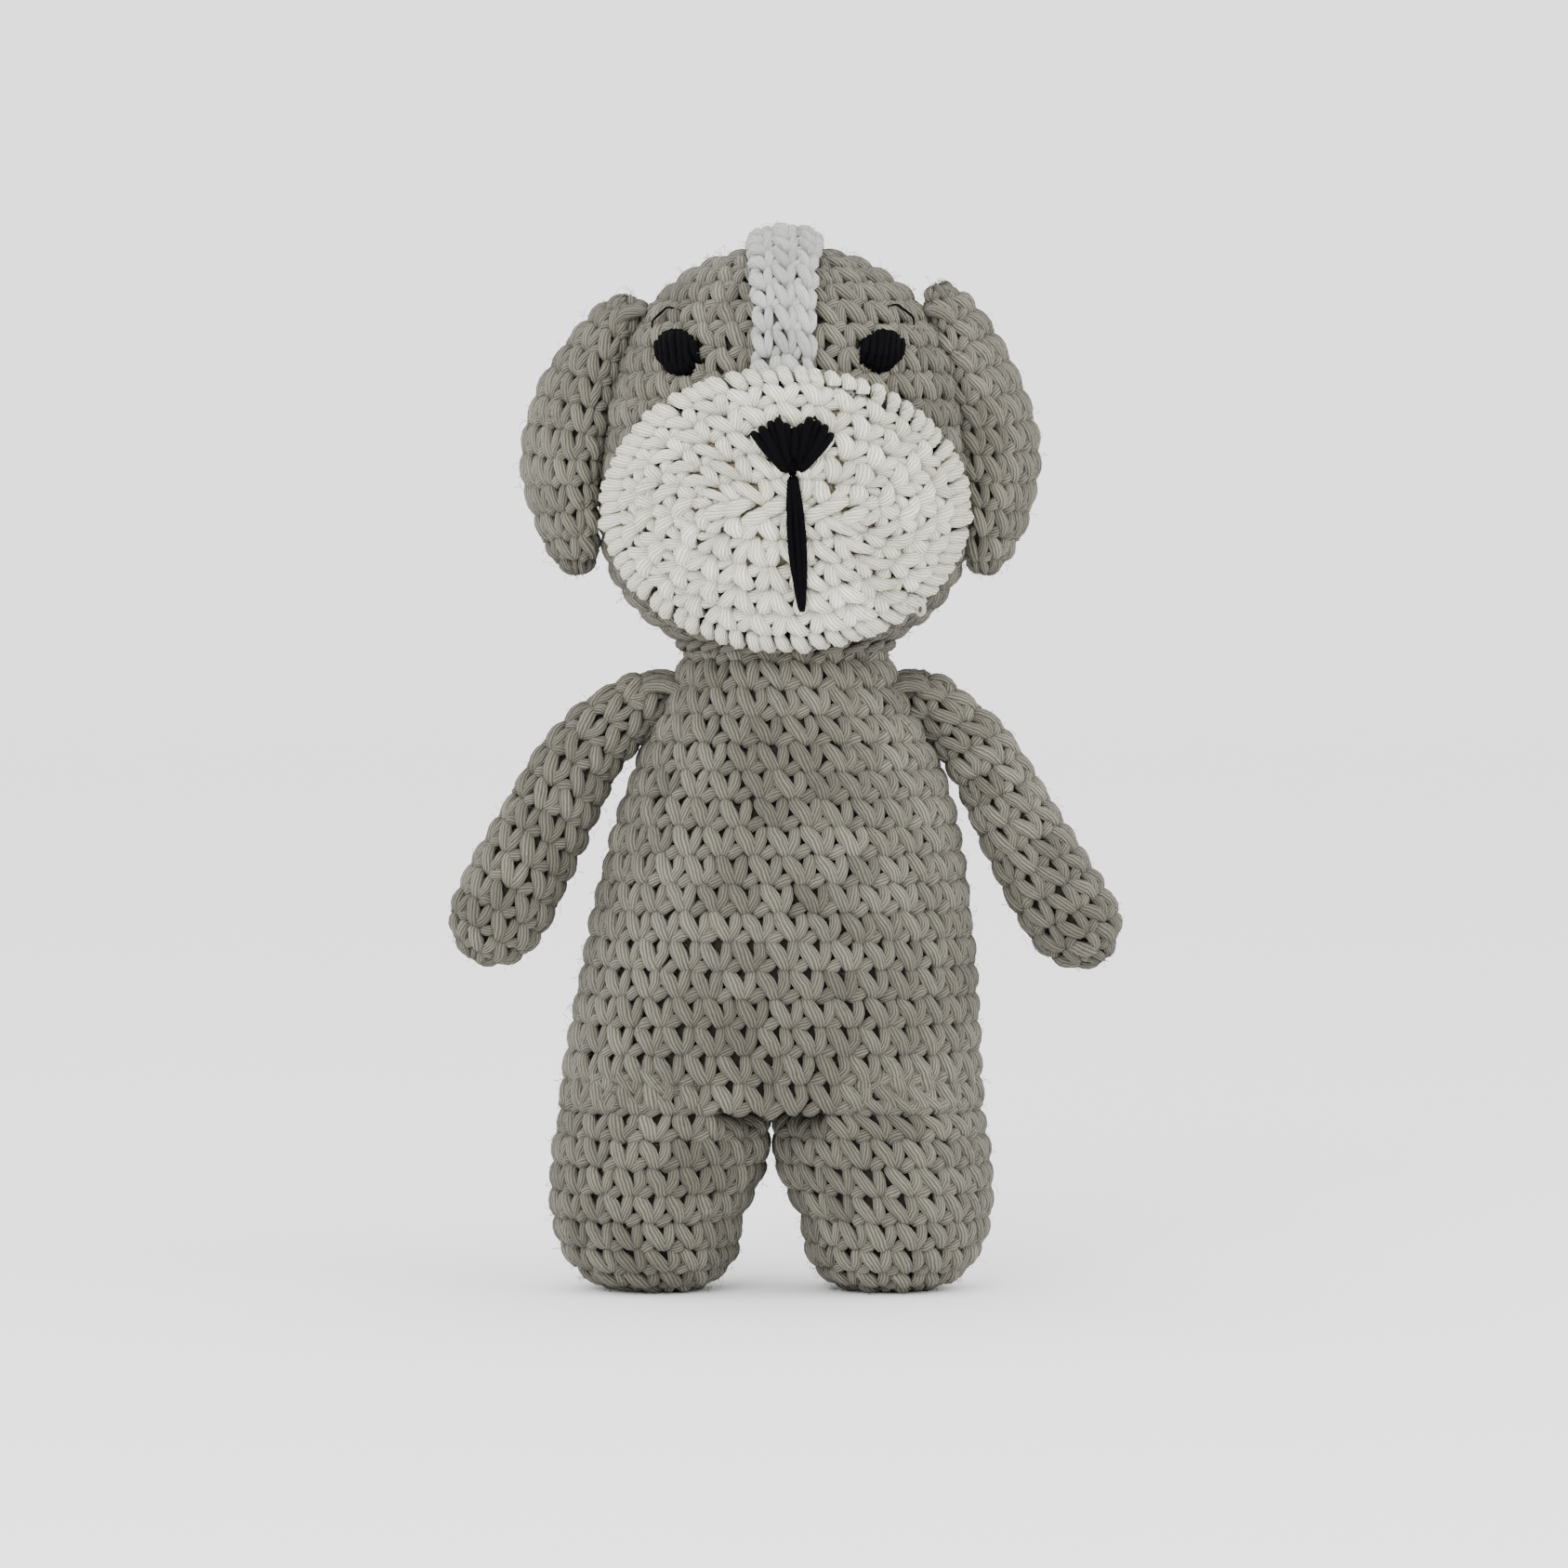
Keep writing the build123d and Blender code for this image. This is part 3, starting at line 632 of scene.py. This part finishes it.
# legs
SPLIT_X = (box("left_leg_cover")[0][0] + box("right_leg_cover")[1][0]) / 2
LEG_R = 0.0201        # half a leg's width
HALF_GAP = 0.0006     # half the least gap between the legs
PARTING = {0.006: 0.0030, 0.013: 0.0042, 0.019: 0.0014, 0.025: -0.0014,
           0.030: -0.0032, 0.034: -0.0045, 0.045: -0.0060}  # height: how far a leg's inner side moves out
for side, sign in (("left", 1), ("right", -1)):
    cover = f"{side}_leg_cover"
    low, high = box(cover)
    middle = np.array([(low[0] + high[0]) / 2, MID, 0.016])
    rise = [middle + UP * z for z in np.linspace(0.001, legs_top - 0.010, 16)]
    rays = fan(middle, -UP, UP, LEFT * sign, 2, 88, 16)
    rays += [[(c, o) for o in circle(LEFT * sign, BACK * sign)] for c in rise]

    def foot(grid, sign=sign, middle=middle):
        """Parts the legs toward the feet and draws the tops in to meet the trunk."""
        z = grid[..., 2]
        inner = np.clip(-(grid[..., 0] - middle[0]) * sign / LEG_R, 0, 1)
        grid[..., 0] += sign * inner * np.interp(z, list(PARTING), list(PARTING.values()))
        outer = np.clip((grid[..., 0] - middle[0]) * sign / LEG_R, 0, 1)
        grid[..., 0] -= sign * outer * np.interp(z, [0.020, 0.037], [0.0, 0.0012])
        grid[..., 0] = SPLIT_X + sign * np.maximum((grid[..., 0] - SPLIT_X) * sign, HALF_GAP)
        return grid

    dress(f"{side}_leg", Surface([cover], rays, LEG_REACH, shape=foot), grey, shade_sheet_grey)

# arms
LIMB_STITCH = 0.0060  # arms and ears are worked a little tighter
ROOT_REACH, ROOT_DRAW = 0.014, 0.0040  # how much of an arm is drawn in at its root, and how far
for side, sign in (("left", 1), ("right", -1)):
    cover = f"{side}_arm_cover"
    low, high = box(cover)
    root = joint_at(f"{side}_shoulder")
    tip = np.array([high[0] - 0.01 if sign > 0 else low[0] + 0.01, MID, low[2] + 0.01])
    path = spine(cover, tip, root, 0.009, 0.006, -BACK)

    def join(grid, sign=sign, root=root):
        """Brings the arm's root in against the trunk."""
        near = np.clip(1 - np.linalg.norm(grid - root, axis=2) / ROOT_REACH, 0, 1)
        grid[..., 0] -= sign * ROOT_DRAW * near
        return grid

    skin = Surface([cover], limb_rays(path, -BACK), LIMB_REACH, shape=join)
    dress(f"{side}_arm", skin, grey, shade_sheet_grey, width=LIMB_STITCH)

# ears
EAR_SHIFT = {1: (0.0048, 0.0047), -1: (0.0030, 0.0034)}  # toward the head: the flap, the root
EAR_RAISE = 0.0022    # how much higher the dog's left ear is sewn on
EAR_SWELL = 0.22
for side, sign in (("left", 1), ("right", -1)):
    cover = f"{side}_ear_cover"
    low, high = box(cover)
    root = joint_at(f"{side}_ear_hinge")
    tip = np.array([(low[0] + high[0]) / 2, MID, low[2] + 0.008])
    path = spine(cover, tip, root, 0.006, 0.006, -BACK)

    def lie_close(grid, sign=sign, root=root):
        """Brings the flap in against the head below its hinge; the dog's left one also sits higher."""
        below = np.clip((root[2] - grid[..., 2]) / 0.016, 0, 1)
        bulge = np.exp(-((grid[..., 2] - root[2] + 0.028) / 0.016) ** 2)
        middle = grid.mean(1, keepdims=True)[..., 0]
        grid[..., 0] = middle + (grid[..., 0] - middle) * (1 + EAR_SWELL * bulge)
        flap, base = EAR_SHIFT[sign]
        grid[..., 0] -= sign * (below * flap + (1 - below) * base)
        if sign > 0:
            grid[..., 2] += EAR_RAISE * (1 - below)
        return grid

    skin = Surface([cover], limb_rays(path, -BACK), LIMB_REACH, shape=lie_close)
    dress(f"{side}_ear", skin, grey, shade_sheet_grey, width=LIMB_STITCH)

# head: rounds from the crown down
muzzle_low, muzzle_high = box("muzzle_cover")
muzzle_mid, muzzle_half = (muzzle_low + muzzle_high) / 2, (muzzle_high - muzzle_low) / 2
stripe_low, stripe_high = box("forehead_stripe")
stripe_mid, stripe_half = (stripe_low + stripe_high) / 2, (stripe_high - stripe_low) / 2
head_mid = np.array([0, MID, head_low[2] + 0.031])
UNDER = 0.004         # how far the head's stitches run on under the muzzle
UNDER_STRIPE = 0.0045


def shows_on_head(place):
    """Not under the muzzle and not under the stripe."""
    x, y, z = place
    oval = math.hypot((x - muzzle_mid[0]) / (muzzle_half[0] - UNDER),
                      (z - muzzle_mid[2]) / (muzzle_half[2] - UNDER))
    under_stripe = abs(x - stripe_mid[0]) < stripe_half[0] - UNDER_STRIPE
    striped = under_stripe and y < stripe_high[1] - 0.003 and z > muzzle_mid[2]
    return not ((oval < 1 and y < MID) or striped)


head_rays = fan(head_mid, UP, -UP, -BACK, 2, 148, 42)
dress("head", Surface(["head_cover"], head_rays, REACH), grey, shade_sheet_grey, keep=shows_on_head)

# muzzle: oval rounds about a short chain
chain = muzzle_half[0] * 0.40
WORKED = 0.935        # the share of the muzzle's half size that the flat rounds reach
WHITE_STITCH = 0.0066
DRAWN, DRAWN_WIDTH = 0.0018, 0.0035  # how deep and wide the mouth stitch draws the muzzle in
rings = []
for share in np.linspace(0.04, 1.0, 26):
    ring = []
    for angle in np.arange(Surface.STEPS) / Surface.STEPS * 2 * np.pi:
        c, s = math.cos(angle), -math.sin(angle)
        rim = np.array([muzzle_half[0] * c, 0, muzzle_half[2] * s]) * WORKED
        core = np.array([chain * max(-1, min(1, 1.5 * c)), 0, 0])
        place = muzzle_mid * (1, 0, 1) + core * (1 - share) + rim * share
        ring.append((np.array([place[0], 0, place[2]]), -BACK))
    rings.append(ring)
mouth_low, mouth_high = box("mouth_stitch")
mouth_x = (mouth_low[0] + mouth_high[0]) / 2


def cheeks(grid):
    """Draws the muzzle in along the mouth stitch, so the cheeks swell on both sides."""
    x, z = grid[..., 0], grid[..., 2]
    across = np.exp(-((x - mouth_x) / DRAWN_WIDTH) ** 2)
    above = np.clip((z - mouth_low[2] + 0.004) / 0.008, 0, 1)
    below = np.clip((mouth_high[2] + 0.002 - z) / 0.006, 0, 1)
    grid[..., 1] += DRAWN * across * (above * below)
    return grid


muzzle = Surface(["muzzle_cover", "head_cover"], rings, REACH, smooth=0.6, shape=cheeks)
dress("muzzle", muzzle, white, shade_sheet_white, sink=0.0006, width=WHITE_STITCH, variants=OPEN_VARIANTS,
      groove=0.0008)

# stripe: short rows over the crown and down the forehead
STRIPE_STITCH = 0.0052
EDGE_DROP = 0.0018    # how far its long edges turn down
rings = []
for lean in np.radians(np.linspace(62, -21, 30)):
    ring = []
    narrow = np.interp(math.degrees(lean), [15, 40, 62], [0.98, 0.84, 0.80])
    for x in np.linspace(-stripe_half[0], stripe_half[0], 9) * narrow:
        ring.append((head_mid + LEFT * (stripe_mid[0] + x), np.array([0, -math.sin(lean), math.cos(lean)])))
    rings.append(ring)


def crown_strip(grid):
    """Rounds the strip's long edges down onto the head."""
    share = np.linspace(-1, 1, grid.shape[1])[None, :, None] ** 4
    out = grid - head_mid
    return grid - out / np.linalg.norm(out, axis=2, keepdims=True) * share * EDGE_DROP


stripe = Surface(["forehead_stripe", "head_cover"], rings, REACH, smooth=0.6, closed=False, shape=crown_strip)
dress("stripe", stripe, dull_white, shade_sheet_white, sink=0.0008, width=STRIPE_STITCH, variants=OPEN_VARIANTS)


# --- embroidery and sewing ------------------------------------------------------------------------
def sewn(name, paths, radius, material, count=9, twist=2.0, taper=0.5, flute=0.06):
    """Strands of thread laid along paths, as one piece."""
    verts, plies, quads, caps = [], [], [], []
    side_faces, end_faces = strand_faces(count)
    start = 0
    for path in paths:
        thick = radius * random.normal(1, 0.04)
        v, p = strand(path, thick, count, twist + random.normal(0, 0.2), taper, flute)
        verts.append(v)
        plies.append(p)
        quads.append(side_faces + start)
        caps.append(np.array(end_faces) + start)
        start += len(v)
    plies = np.vstack(plies)
    look = np.zeros_like(plies)
    # high enough that the material paints no shade on the thread
    look[:, 2] = 1.4
    return mesh_piece(name, np.vstack(verts), np.vstack(quads), np.vstack(caps), plies, look, material)


# half the width of each thread or strand, in metres
EYE_THREAD, BROW_THREAD, NOSE_THREAD, MOUTH_THREAD = 0.00078, 0.00024, 0.00098, 0.00070
EDGE_YARN, CHAIN_YARN, LOOSE_YARN = 0.00138, 0.00145, 0.0004
NECK_YARN, ARM_YARN, EAR_YARN = 0.0008, 0.00125, 0.00115
INTO = 0.0016         # how deep a satin stitch's ends go in
head_tree, muzzle_tree = solid_tree(["head_cover"]), solid_tree(["muzzle_cover"])


def from_front(tree, x, z):
    """Where a ray from the front at x, z meets a solid, and the way it faces there."""
    return tree.ray_cast(Vector((x, IN_FRONT, z)), Vector(BACK))[:2]


def facing(tree, x, z):
    """The place and outward direction of a skin, seen from the front at x, z."""
    place, normal = from_front(tree, x, z)
    return np.array(place), np.array(normal)


features = {}
for side, sign in (("left", 1), ("right", -1)):
    low, high = box(f"{side}_eye")
    mid, half = (low + high) / 2, (high - low) / 2
    radius = (half[0] + half[2]) / 2 * 0.93
    paths = []
    for layer, lift in ((0, 0.0002), (1, 0.0007)):
        for step in np.linspace(-0.86, 0.86, 9 if layer == 0 else 7):
            reach = radius * math.sqrt(1 - step * step) * (1.0 if layer == 0 else 0.86)
            reach += random.normal(0, 0.00015)
            path = []
            for t in (-1.0, -0.8, 0.0, 0.8, 1.0):
                x = mid[0] + step * radius + t * 0.0003 * sign + random.normal(0, 0.00008)
                place, normal = facing(head_tree, x, mid[2] + t * reach)
                dome = lift + 0.0008 * (1 - step * step) - (INTO if abs(t) == 1 else 0)
                path.append(place + normal * dome)
            paths.append(path)
    thread = sewn(f"{side}_eye_thread", paths, EYE_THREAD, black, flute=0.02)
    features[f"{side}_eye"] = (thread, [f"{side}_eye"])

    low, high = box(f"{side}_eyebrow")
    inner, outer = (low[0], high[0]) if sign > 0 else (high[0], low[0])
    path = []
    for t in np.linspace(0, 1, 6):
        x = inner + (outer - inner) * t
        z = high[2] - (high[2] - low[2]) * t ** 1.6
        place, normal = facing(head_tree, x, z)
        path.append(place + normal * (-0.0008 if t in (0, 1) else 0.0004 + random.normal(0, 0.0001)))
    thread = sewn(f"{side}_brow_thread", [path], BROW_THREAD, black, 12)
    features[f"{side}_brow"] = (thread, [f"{side}_eyebrow"])

# nose: threads fanned from one point
low, high = box("nose")
mid, half = (low + high) / 2, (high - low) / 2
point = np.array([mid[0] - half[0] * 0.02, 0, low[2] + 0.0003])
# where each thread ends, as shares of the nose's half width and half height
tips = ((-1.06, 0.50), (-0.84, 0.66), (-0.62, 0.90), (-0.40, 0.98), (-0.20, 0.80), (0.02, 0.62), (0.22, 0.78),
        (0.42, 1.0), (0.64, 0.92), (0.84, 0.72), (0.98, 0.42))
paths = []
for layer in (0, 1):
    for i, (across, up) in enumerate(tips[layer::1 if layer == 0 else 2]):
        tip = np.array([mid[0] + across * half[0] * 0.96, 0, mid[2] + up * half[2] * 0.95])
        start = point + (tip - point) * (0.04 if layer == 0 else 0.12) + LEFT * across * 0.0012
        path = []
        for t in (0.0, 0.12, 0.5, 0.88, 1.0):
            at = start + (tip - start) * t
            place, normal = facing(muzzle_tree, at[0] + random.normal(0, 0.00008), at[2])
            rise = 0.0009 + layer * 0.0005 + 0.0006 * math.sin(math.pi * t) - (INTO if t in (0.0, 1.0) else 0)
            path.append(place + normal * rise)
        paths.append(path)
features["nose"] = (sewn("nose_thread", paths, NOSE_THREAD, black, flute=0.02), ["nose"])

# mouth: three long threads side by side
mouth_top = mouth_high[2] + 0.0012
paths = []
for across, bow in ((-0.55, -0.5), (0.0, 0.1), (0.5, 0.5)):
    path = []
    for t in (0.0, 0.04, 0.25, 0.5, 0.75, 0.96, 1.0):
        z = mouth_top - (mouth_top - mouth_low[2]) * t
        spread = (across + bow) * 0.0009 * math.sin(math.pi * min(1, t + 0.02)) + across * 0.0003
        x = mouth_low[0] + 0.0004 + 0.0018 * t + spread
        place, normal = facing(muzzle_tree, x, z)
        path.append(place - BACK * (-0.0012 if t in (0.0, 1.0) else 0.0002 + 0.0002 * math.cos(across * 3)))
    paths.append(path)
features["mouth"] = (sewn("mouth_thread", paths, MOUTH_THREAD, black, 16, 5.0), ["mouth_stitch"])

# the muzzle's last round turns over its edge and down to the head
EDGE_STITCHES = 68
EDGE_DEPTH = 0.0095   # the longest way they go back, under the chin


def on_edge(angle, out, tree, lift):
    """The place at a share of the way out from the muzzle's middle, lifted off the solid toward the front."""
    x = muzzle_mid[0] + muzzle_half[0] * math.cos(angle) * out
    z = muzzle_mid[2] + muzzle_half[2] * math.sin(angle) * out
    hit = from_front(tree, x, z)[0] or Vector((x, muzzle_high[1], z))
    return np.array([x, hit.y - lift, z])


paths = []
for stitch in range(EDGE_STITCHES):
    angle = (stitch + random.normal(0, 0.12)) / EDGE_STITCHES * 2 * np.pi
    bulge = random.normal(0, 0.009)
    lean = 0.35 * 2 * np.pi / EDGE_STITCHES
    front, back = on_edge(angle, 0.965, muzzle_tree, 0), on_edge(angle + lean, 0.995, head_tree, 0.0004)
    end = on_edge(angle + lean, 0.97, head_tree, -0.0015)
    back[1], end[1] = min(back[1], front[1] + EDGE_DEPTH), min(end[1], front[1] + EDGE_DEPTH + 0.0015)
    wall = on_edge(angle + lean / 2, 0.985 + bulge, muzzle_tree, 0)
    wall[1] = front[1] * 0.45 + back[1] * 0.55
    start = on_edge(angle - lean, 0.88, muzzle_tree, -0.0018)
    paths.append([start, on_edge(angle - lean / 2, 0.93, muzzle_tree, -0.0002), front, wall, back, end])
features["muzzle_seam"] = (sewn("muzzle_seam_strands", paths, EDGE_YARN, white, 9, 1.6), ["muzzle_seam_yarn"])

# the chain that the muzzle's rounds are worked about
paths = []
LINKS = 8
for link in range(LINKS):
    path = []
    for t, lift in ((-0.3, -0.0022), (0.05, -0.0006), (0.5, 0.0002), (0.95, -0.0006), (1.3, -0.0022)):
        x = muzzle_mid[0] + chain * 1.05 * (2 * (link + t) / LINKS - 1)
        z = muzzle_mid[2] + 0.0011 * math.sin(link * 2.4) + (t - 0.5) * 0.0016
        drawn = DRAWN * math.exp(-((x - mouth_x) / DRAWN_WIDTH) ** 2)
        path.append(np.array([x, from_front(muzzle_tree, x, z)[0].y - lift + drawn, z]))
    paths.append(path)
features["muzzle_chain"] = (sewn("muzzle_chain_strands", paths, CHAIN_YARN, white, 9, 1.6), [])

# the seam where the head meets the neck
low, high = box("neck_seam_yarn")
radius, height = (high[0] - low[0]) / 2, (low[2] + high[2]) / 2
NECK_LOOPS = 24
paths = []
for angle in np.arange(NECK_LOOPS) / NECK_LOOPS * 2 * np.pi:
    path = []
    for t in np.linspace(-0.5, 0.5, 5):
        a = angle + t * 0.34
        out = radius - 0.0012 - 0.0012 * (2 * t) ** 2
        path.append(np.array([math.cos(a) * out, MID + math.sin(a) * out, height + 0.0006 + t * 0.0022]))
    paths.append(path)
features["neck_seam"] = (sewn("neck_seam_strands", paths, NECK_YARN, grey, 9, 1.2), ["neck_seam_yarn"])

# shoulder and ear seams: short strands over each joint, spread from front to back
ARM_STRANDS = ((-0.0052, 0.0012), (-0.0026, -0.0006), (0.0002, 0.0008), (0.0030, -0.0008), (0.0054, 0.0008))
for side, sign in (("left", 1), ("right", -1)):
    low, high = box(f"{side}_arm_seam_yarn")
    mid = (low + high) / 2
    paths = []
    for across, slant in ARM_STRANDS:
        fall = abs(across) * 0.35
        paths.append([
            mid + np.array([-sign * 0.0042, across - slant, -0.0030 - fall]),
            mid + np.array([-sign * 0.0028, across - slant * 0.6, -0.0012 - fall]),
            mid + np.array([sign * 0.0005, across, 0.0002 - fall]),
            mid + np.array([sign * 0.0040, across + slant * 0.6, -0.0002 - fall]),
            mid + np.array([sign * 0.0056, across + slant, -0.0022 - fall]),
        ])
    strands = sewn(f"{side}_arm_seam_strands", paths, ARM_YARN, grey, 9, 1.6)
    features[f"{side}_arm_seam"] = (strands, [f"{side}_arm_seam_yarn"])
    low, high = box(f"{side}_ear_seam_yarn")
    mid = (low + high) / 2
    paths = []
    for across in np.linspace(-0.0062, 0.0062, 5):
        fall = abs(across) * 0.2
        paths.append([
            mid + np.array([-sign * 0.0036, across - 0.0008, 0.0008 - fall]),
            mid + np.array([-sign * 0.0018, across - 0.0004, 0.0010 - fall]),
            mid + np.array([sign * 0.0006, across, 0.0002 - fall]),
            mid + np.array([sign * 0.0022, across + 0.0008, -0.0016 - fall]),
        ])
    strands = sewn(f"{side}_ear_seam_strands", paths, EAR_YARN, grey, 8, 1.4)
    features[f"{side}_ear_seam"] = (strands, [f"{side}_ear_seam_yarn"])

# a loose end of white yarn by the muzzle's lower edge
loop = [np.array(p) + BACK * MID for p in (
    (0.0222, -0.0250, 0.1318), (0.0238, -0.0285, 0.1312), (0.0252, -0.0290, 0.1302),
    (0.0256, -0.0285, 0.1286), (0.0248, -0.0275, 0.1278), (0.0240, -0.0255, 0.1290))]
features["loose_end"] = (sewn("loose_end_strand", [loop], LOOSE_YARN, white, 16, 4.0), [])

# --- fillings that follow the drawn-in skins ------------------------------------------------------
NECK_FILL, MUZZLE_FILL, LEG_FILL, ARM_FILL = 0.86, (0.84, 1, 0.84), (0.64, 0.70, 0.50), 0.76


def filling(node_name, about, scale):
    """A stuffing drawn in toward a point, so that it stays behind its skin."""
    scale = np.array(scale)
    made = bpy.data.objects.new(f"{node_name}_fibre", frame["nodes"][node_name].data.copy())
    bpy.context.scene.collection.objects.link(made)
    for vertex in made.data.vertices:
        vertex.co = Vector(about + (np.array(vertex.co) - about) * scale)
    return made


fillings = {
    "neck_stuffing": (filling("neck_stuffing", neck_at, NECK_FILL), "neck"),
    "muzzle_stuffing": (filling("muzzle_stuffing", muzzle_mid, MUZZLE_FILL), "head"),
}
for side, sign in (("left", 1), ("right", -1)):
    leg, arm = f"{side}_leg_stuffing", f"{side}_arm_stuffing"
    outer = box(leg)[1 if sign > 0 else 0][0] - sign * 0.0015
    fillings[leg] = (filling(leg, np.array([outer, MID, 0.020]), LEG_FILL), f"{side}_leg")
    low, high = box(arm)
    hand = np.array([high[0] - 0.007 if sign > 0 else low[0] + 0.007, MID, low[2] + 0.008])
    fillings[arm] = (filling(arm, hand, ARM_FILL), f"{side}_arm")

# --- who rides what -------------------------------------------------------------------------------
ARM_BEND = (0.002, 0.010)  # before and past the shoulder, along the arm
EAR_BEND = (0.003, 0.008)  # above and below the hinge
HEAD_NODES = {"head": "head_cover", "muzzle": "muzzle_cover", "stripe": "forehead_stripe"}

for name, made in pieces.items():
    side = name.split("_")[0]
    for piece in made:
        if "leg" in name:
            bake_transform(piece)
            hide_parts(f"{side}_leg_cover")
        elif "arm" in name:
            root = joint_at(f"{side}_shoulder")
            low, high = box(f"{side}_arm_cover")
            far = np.array([high[0] if side == "left" else low[0], MID, low[2]])
            toward = (far - root) / np.linalg.norm(far - root)
            start, end = root - toward * ARM_BEND[0], root + toward * ARM_BEND[1]
            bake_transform(piece)
            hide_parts(f"{side}_arm_cover")
        elif "ear" in name:
            root = joint_at(f"{side}_ear_hinge")
            start, end = root + UP * EAR_BEND[0], root - UP * EAR_BEND[1]
            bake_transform(piece)
            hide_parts(f"{side}_ear_cover")
        elif "trunk" in name:
            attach(piece, "torso")
            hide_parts("torso_cover")
        else:
            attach(piece, "head")
            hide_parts(HEAD_NODES[side])

for name, (piece, nodes) in features.items():
    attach(piece, "torso" if "arm" in name else "head")
    if nodes:
        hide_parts(*nodes)

for node_name, (piece, body) in fillings.items():
    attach(piece, body)
    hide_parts(node_name)


# --- stage, light, camera -------------------------------------------------------------------------
# the floor rises to a wall beyond any camera's place, so that it never hides the toy from behind
FLOOR_FRONT, FLOOR_BEND, BEND_R, WALL_TOP, HALF_WIDTH = -3.0, 2.4, 0.6, 3.0, 4.0
WORLD_LIGHT = 2.3


def plain(name, colour, rough=0.9):
    """A material of one plain colour, for the floor."""
    material = bpy.data.materials.new(name)
    material.use_nodes = True
    shader = material.node_tree.nodes["Principled BSDF"]
    shader.inputs["Base Color"].default_value = (*colour, 1)
    shader.inputs["Roughness"].default_value = rough
    return material


bend = [(FLOOR_BEND + BEND_R * math.sin(a), BEND_R - BEND_R * math.cos(a))
        for a in np.linspace(0.1, math.pi / 2, 12)]
sweep = [(FLOOR_FRONT, 0.0), (FLOOR_BEND, 0.0)] + bend + [(FLOOR_BEND + BEND_R, WALL_TOP)]
stage_mesh = bpy.data.meshes.new("floor")
stage_mesh.from_pydata([(x, y, z) for y, z in sweep for x in (-HALF_WIDTH, HALF_WIDTH)], [],
                       [(2 * i, 2 * i + 1, 2 * i + 3, 2 * i + 2) for i in range(len(sweep) - 1)])
stage_mesh.polygons.foreach_set("use_smooth", [True] * len(stage_mesh.polygons))
floor = bpy.data.objects.new("floor", stage_mesh)
bpy.context.scene.collection.objects.link(floor)
floor.data.materials.append(plain("floor_white", (0.93, 0.93, 0.93)))

world = bpy.data.worlds.new("studio")
bpy.context.scene.world = world
world.use_nodes = True
world.node_tree.nodes["Background"].inputs[0].default_value = (1, 1, 1, 1)
world.node_tree.nodes["Background"].inputs[1].default_value = WORLD_LIGHT


def lamp(name, place, aim, size, power):
    """A square area light."""
    light = bpy.data.lights.new(name, "AREA")
    light.size, light.energy = size, power
    made = bpy.data.objects.new(name, light)
    made.location = place
    made.rotation_euler = (Vector(aim) - Vector(place)).to_track_quat("-Z", "Y").to_euler()
    bpy.context.scene.collection.objects.link(made)


lamp("key", (-0.35, -1.1, 0.62), (0, 0, 0.1), 0.6, 10)
lamp("fill", (0.8, -0.5, 0.5), (0, 0, 0.1), 0.8, 4)

LENS = 200            # in millimetres; long, so that the face isn't spread
DISTANCE = 1.640
CAMERA_RISE = math.radians(2.5)
camera = bpy.data.objects.new("camera", bpy.data.cameras.new("camera"))
bpy.context.scene.collection.objects.link(camera)
camera.data.lens, camera.data.sensor_width = LENS, 36
aim = Vector((-0.0003, MID, 0.0953))
camera.location = aim + Vector((0, -math.cos(CAMERA_RISE), math.sin(CAMERA_RISE))) * DISTANCE
camera.rotation_euler = (aim - camera.location).to_track_quat("-Z", "Y").to_euler()
bpy.context.scene.camera = camera
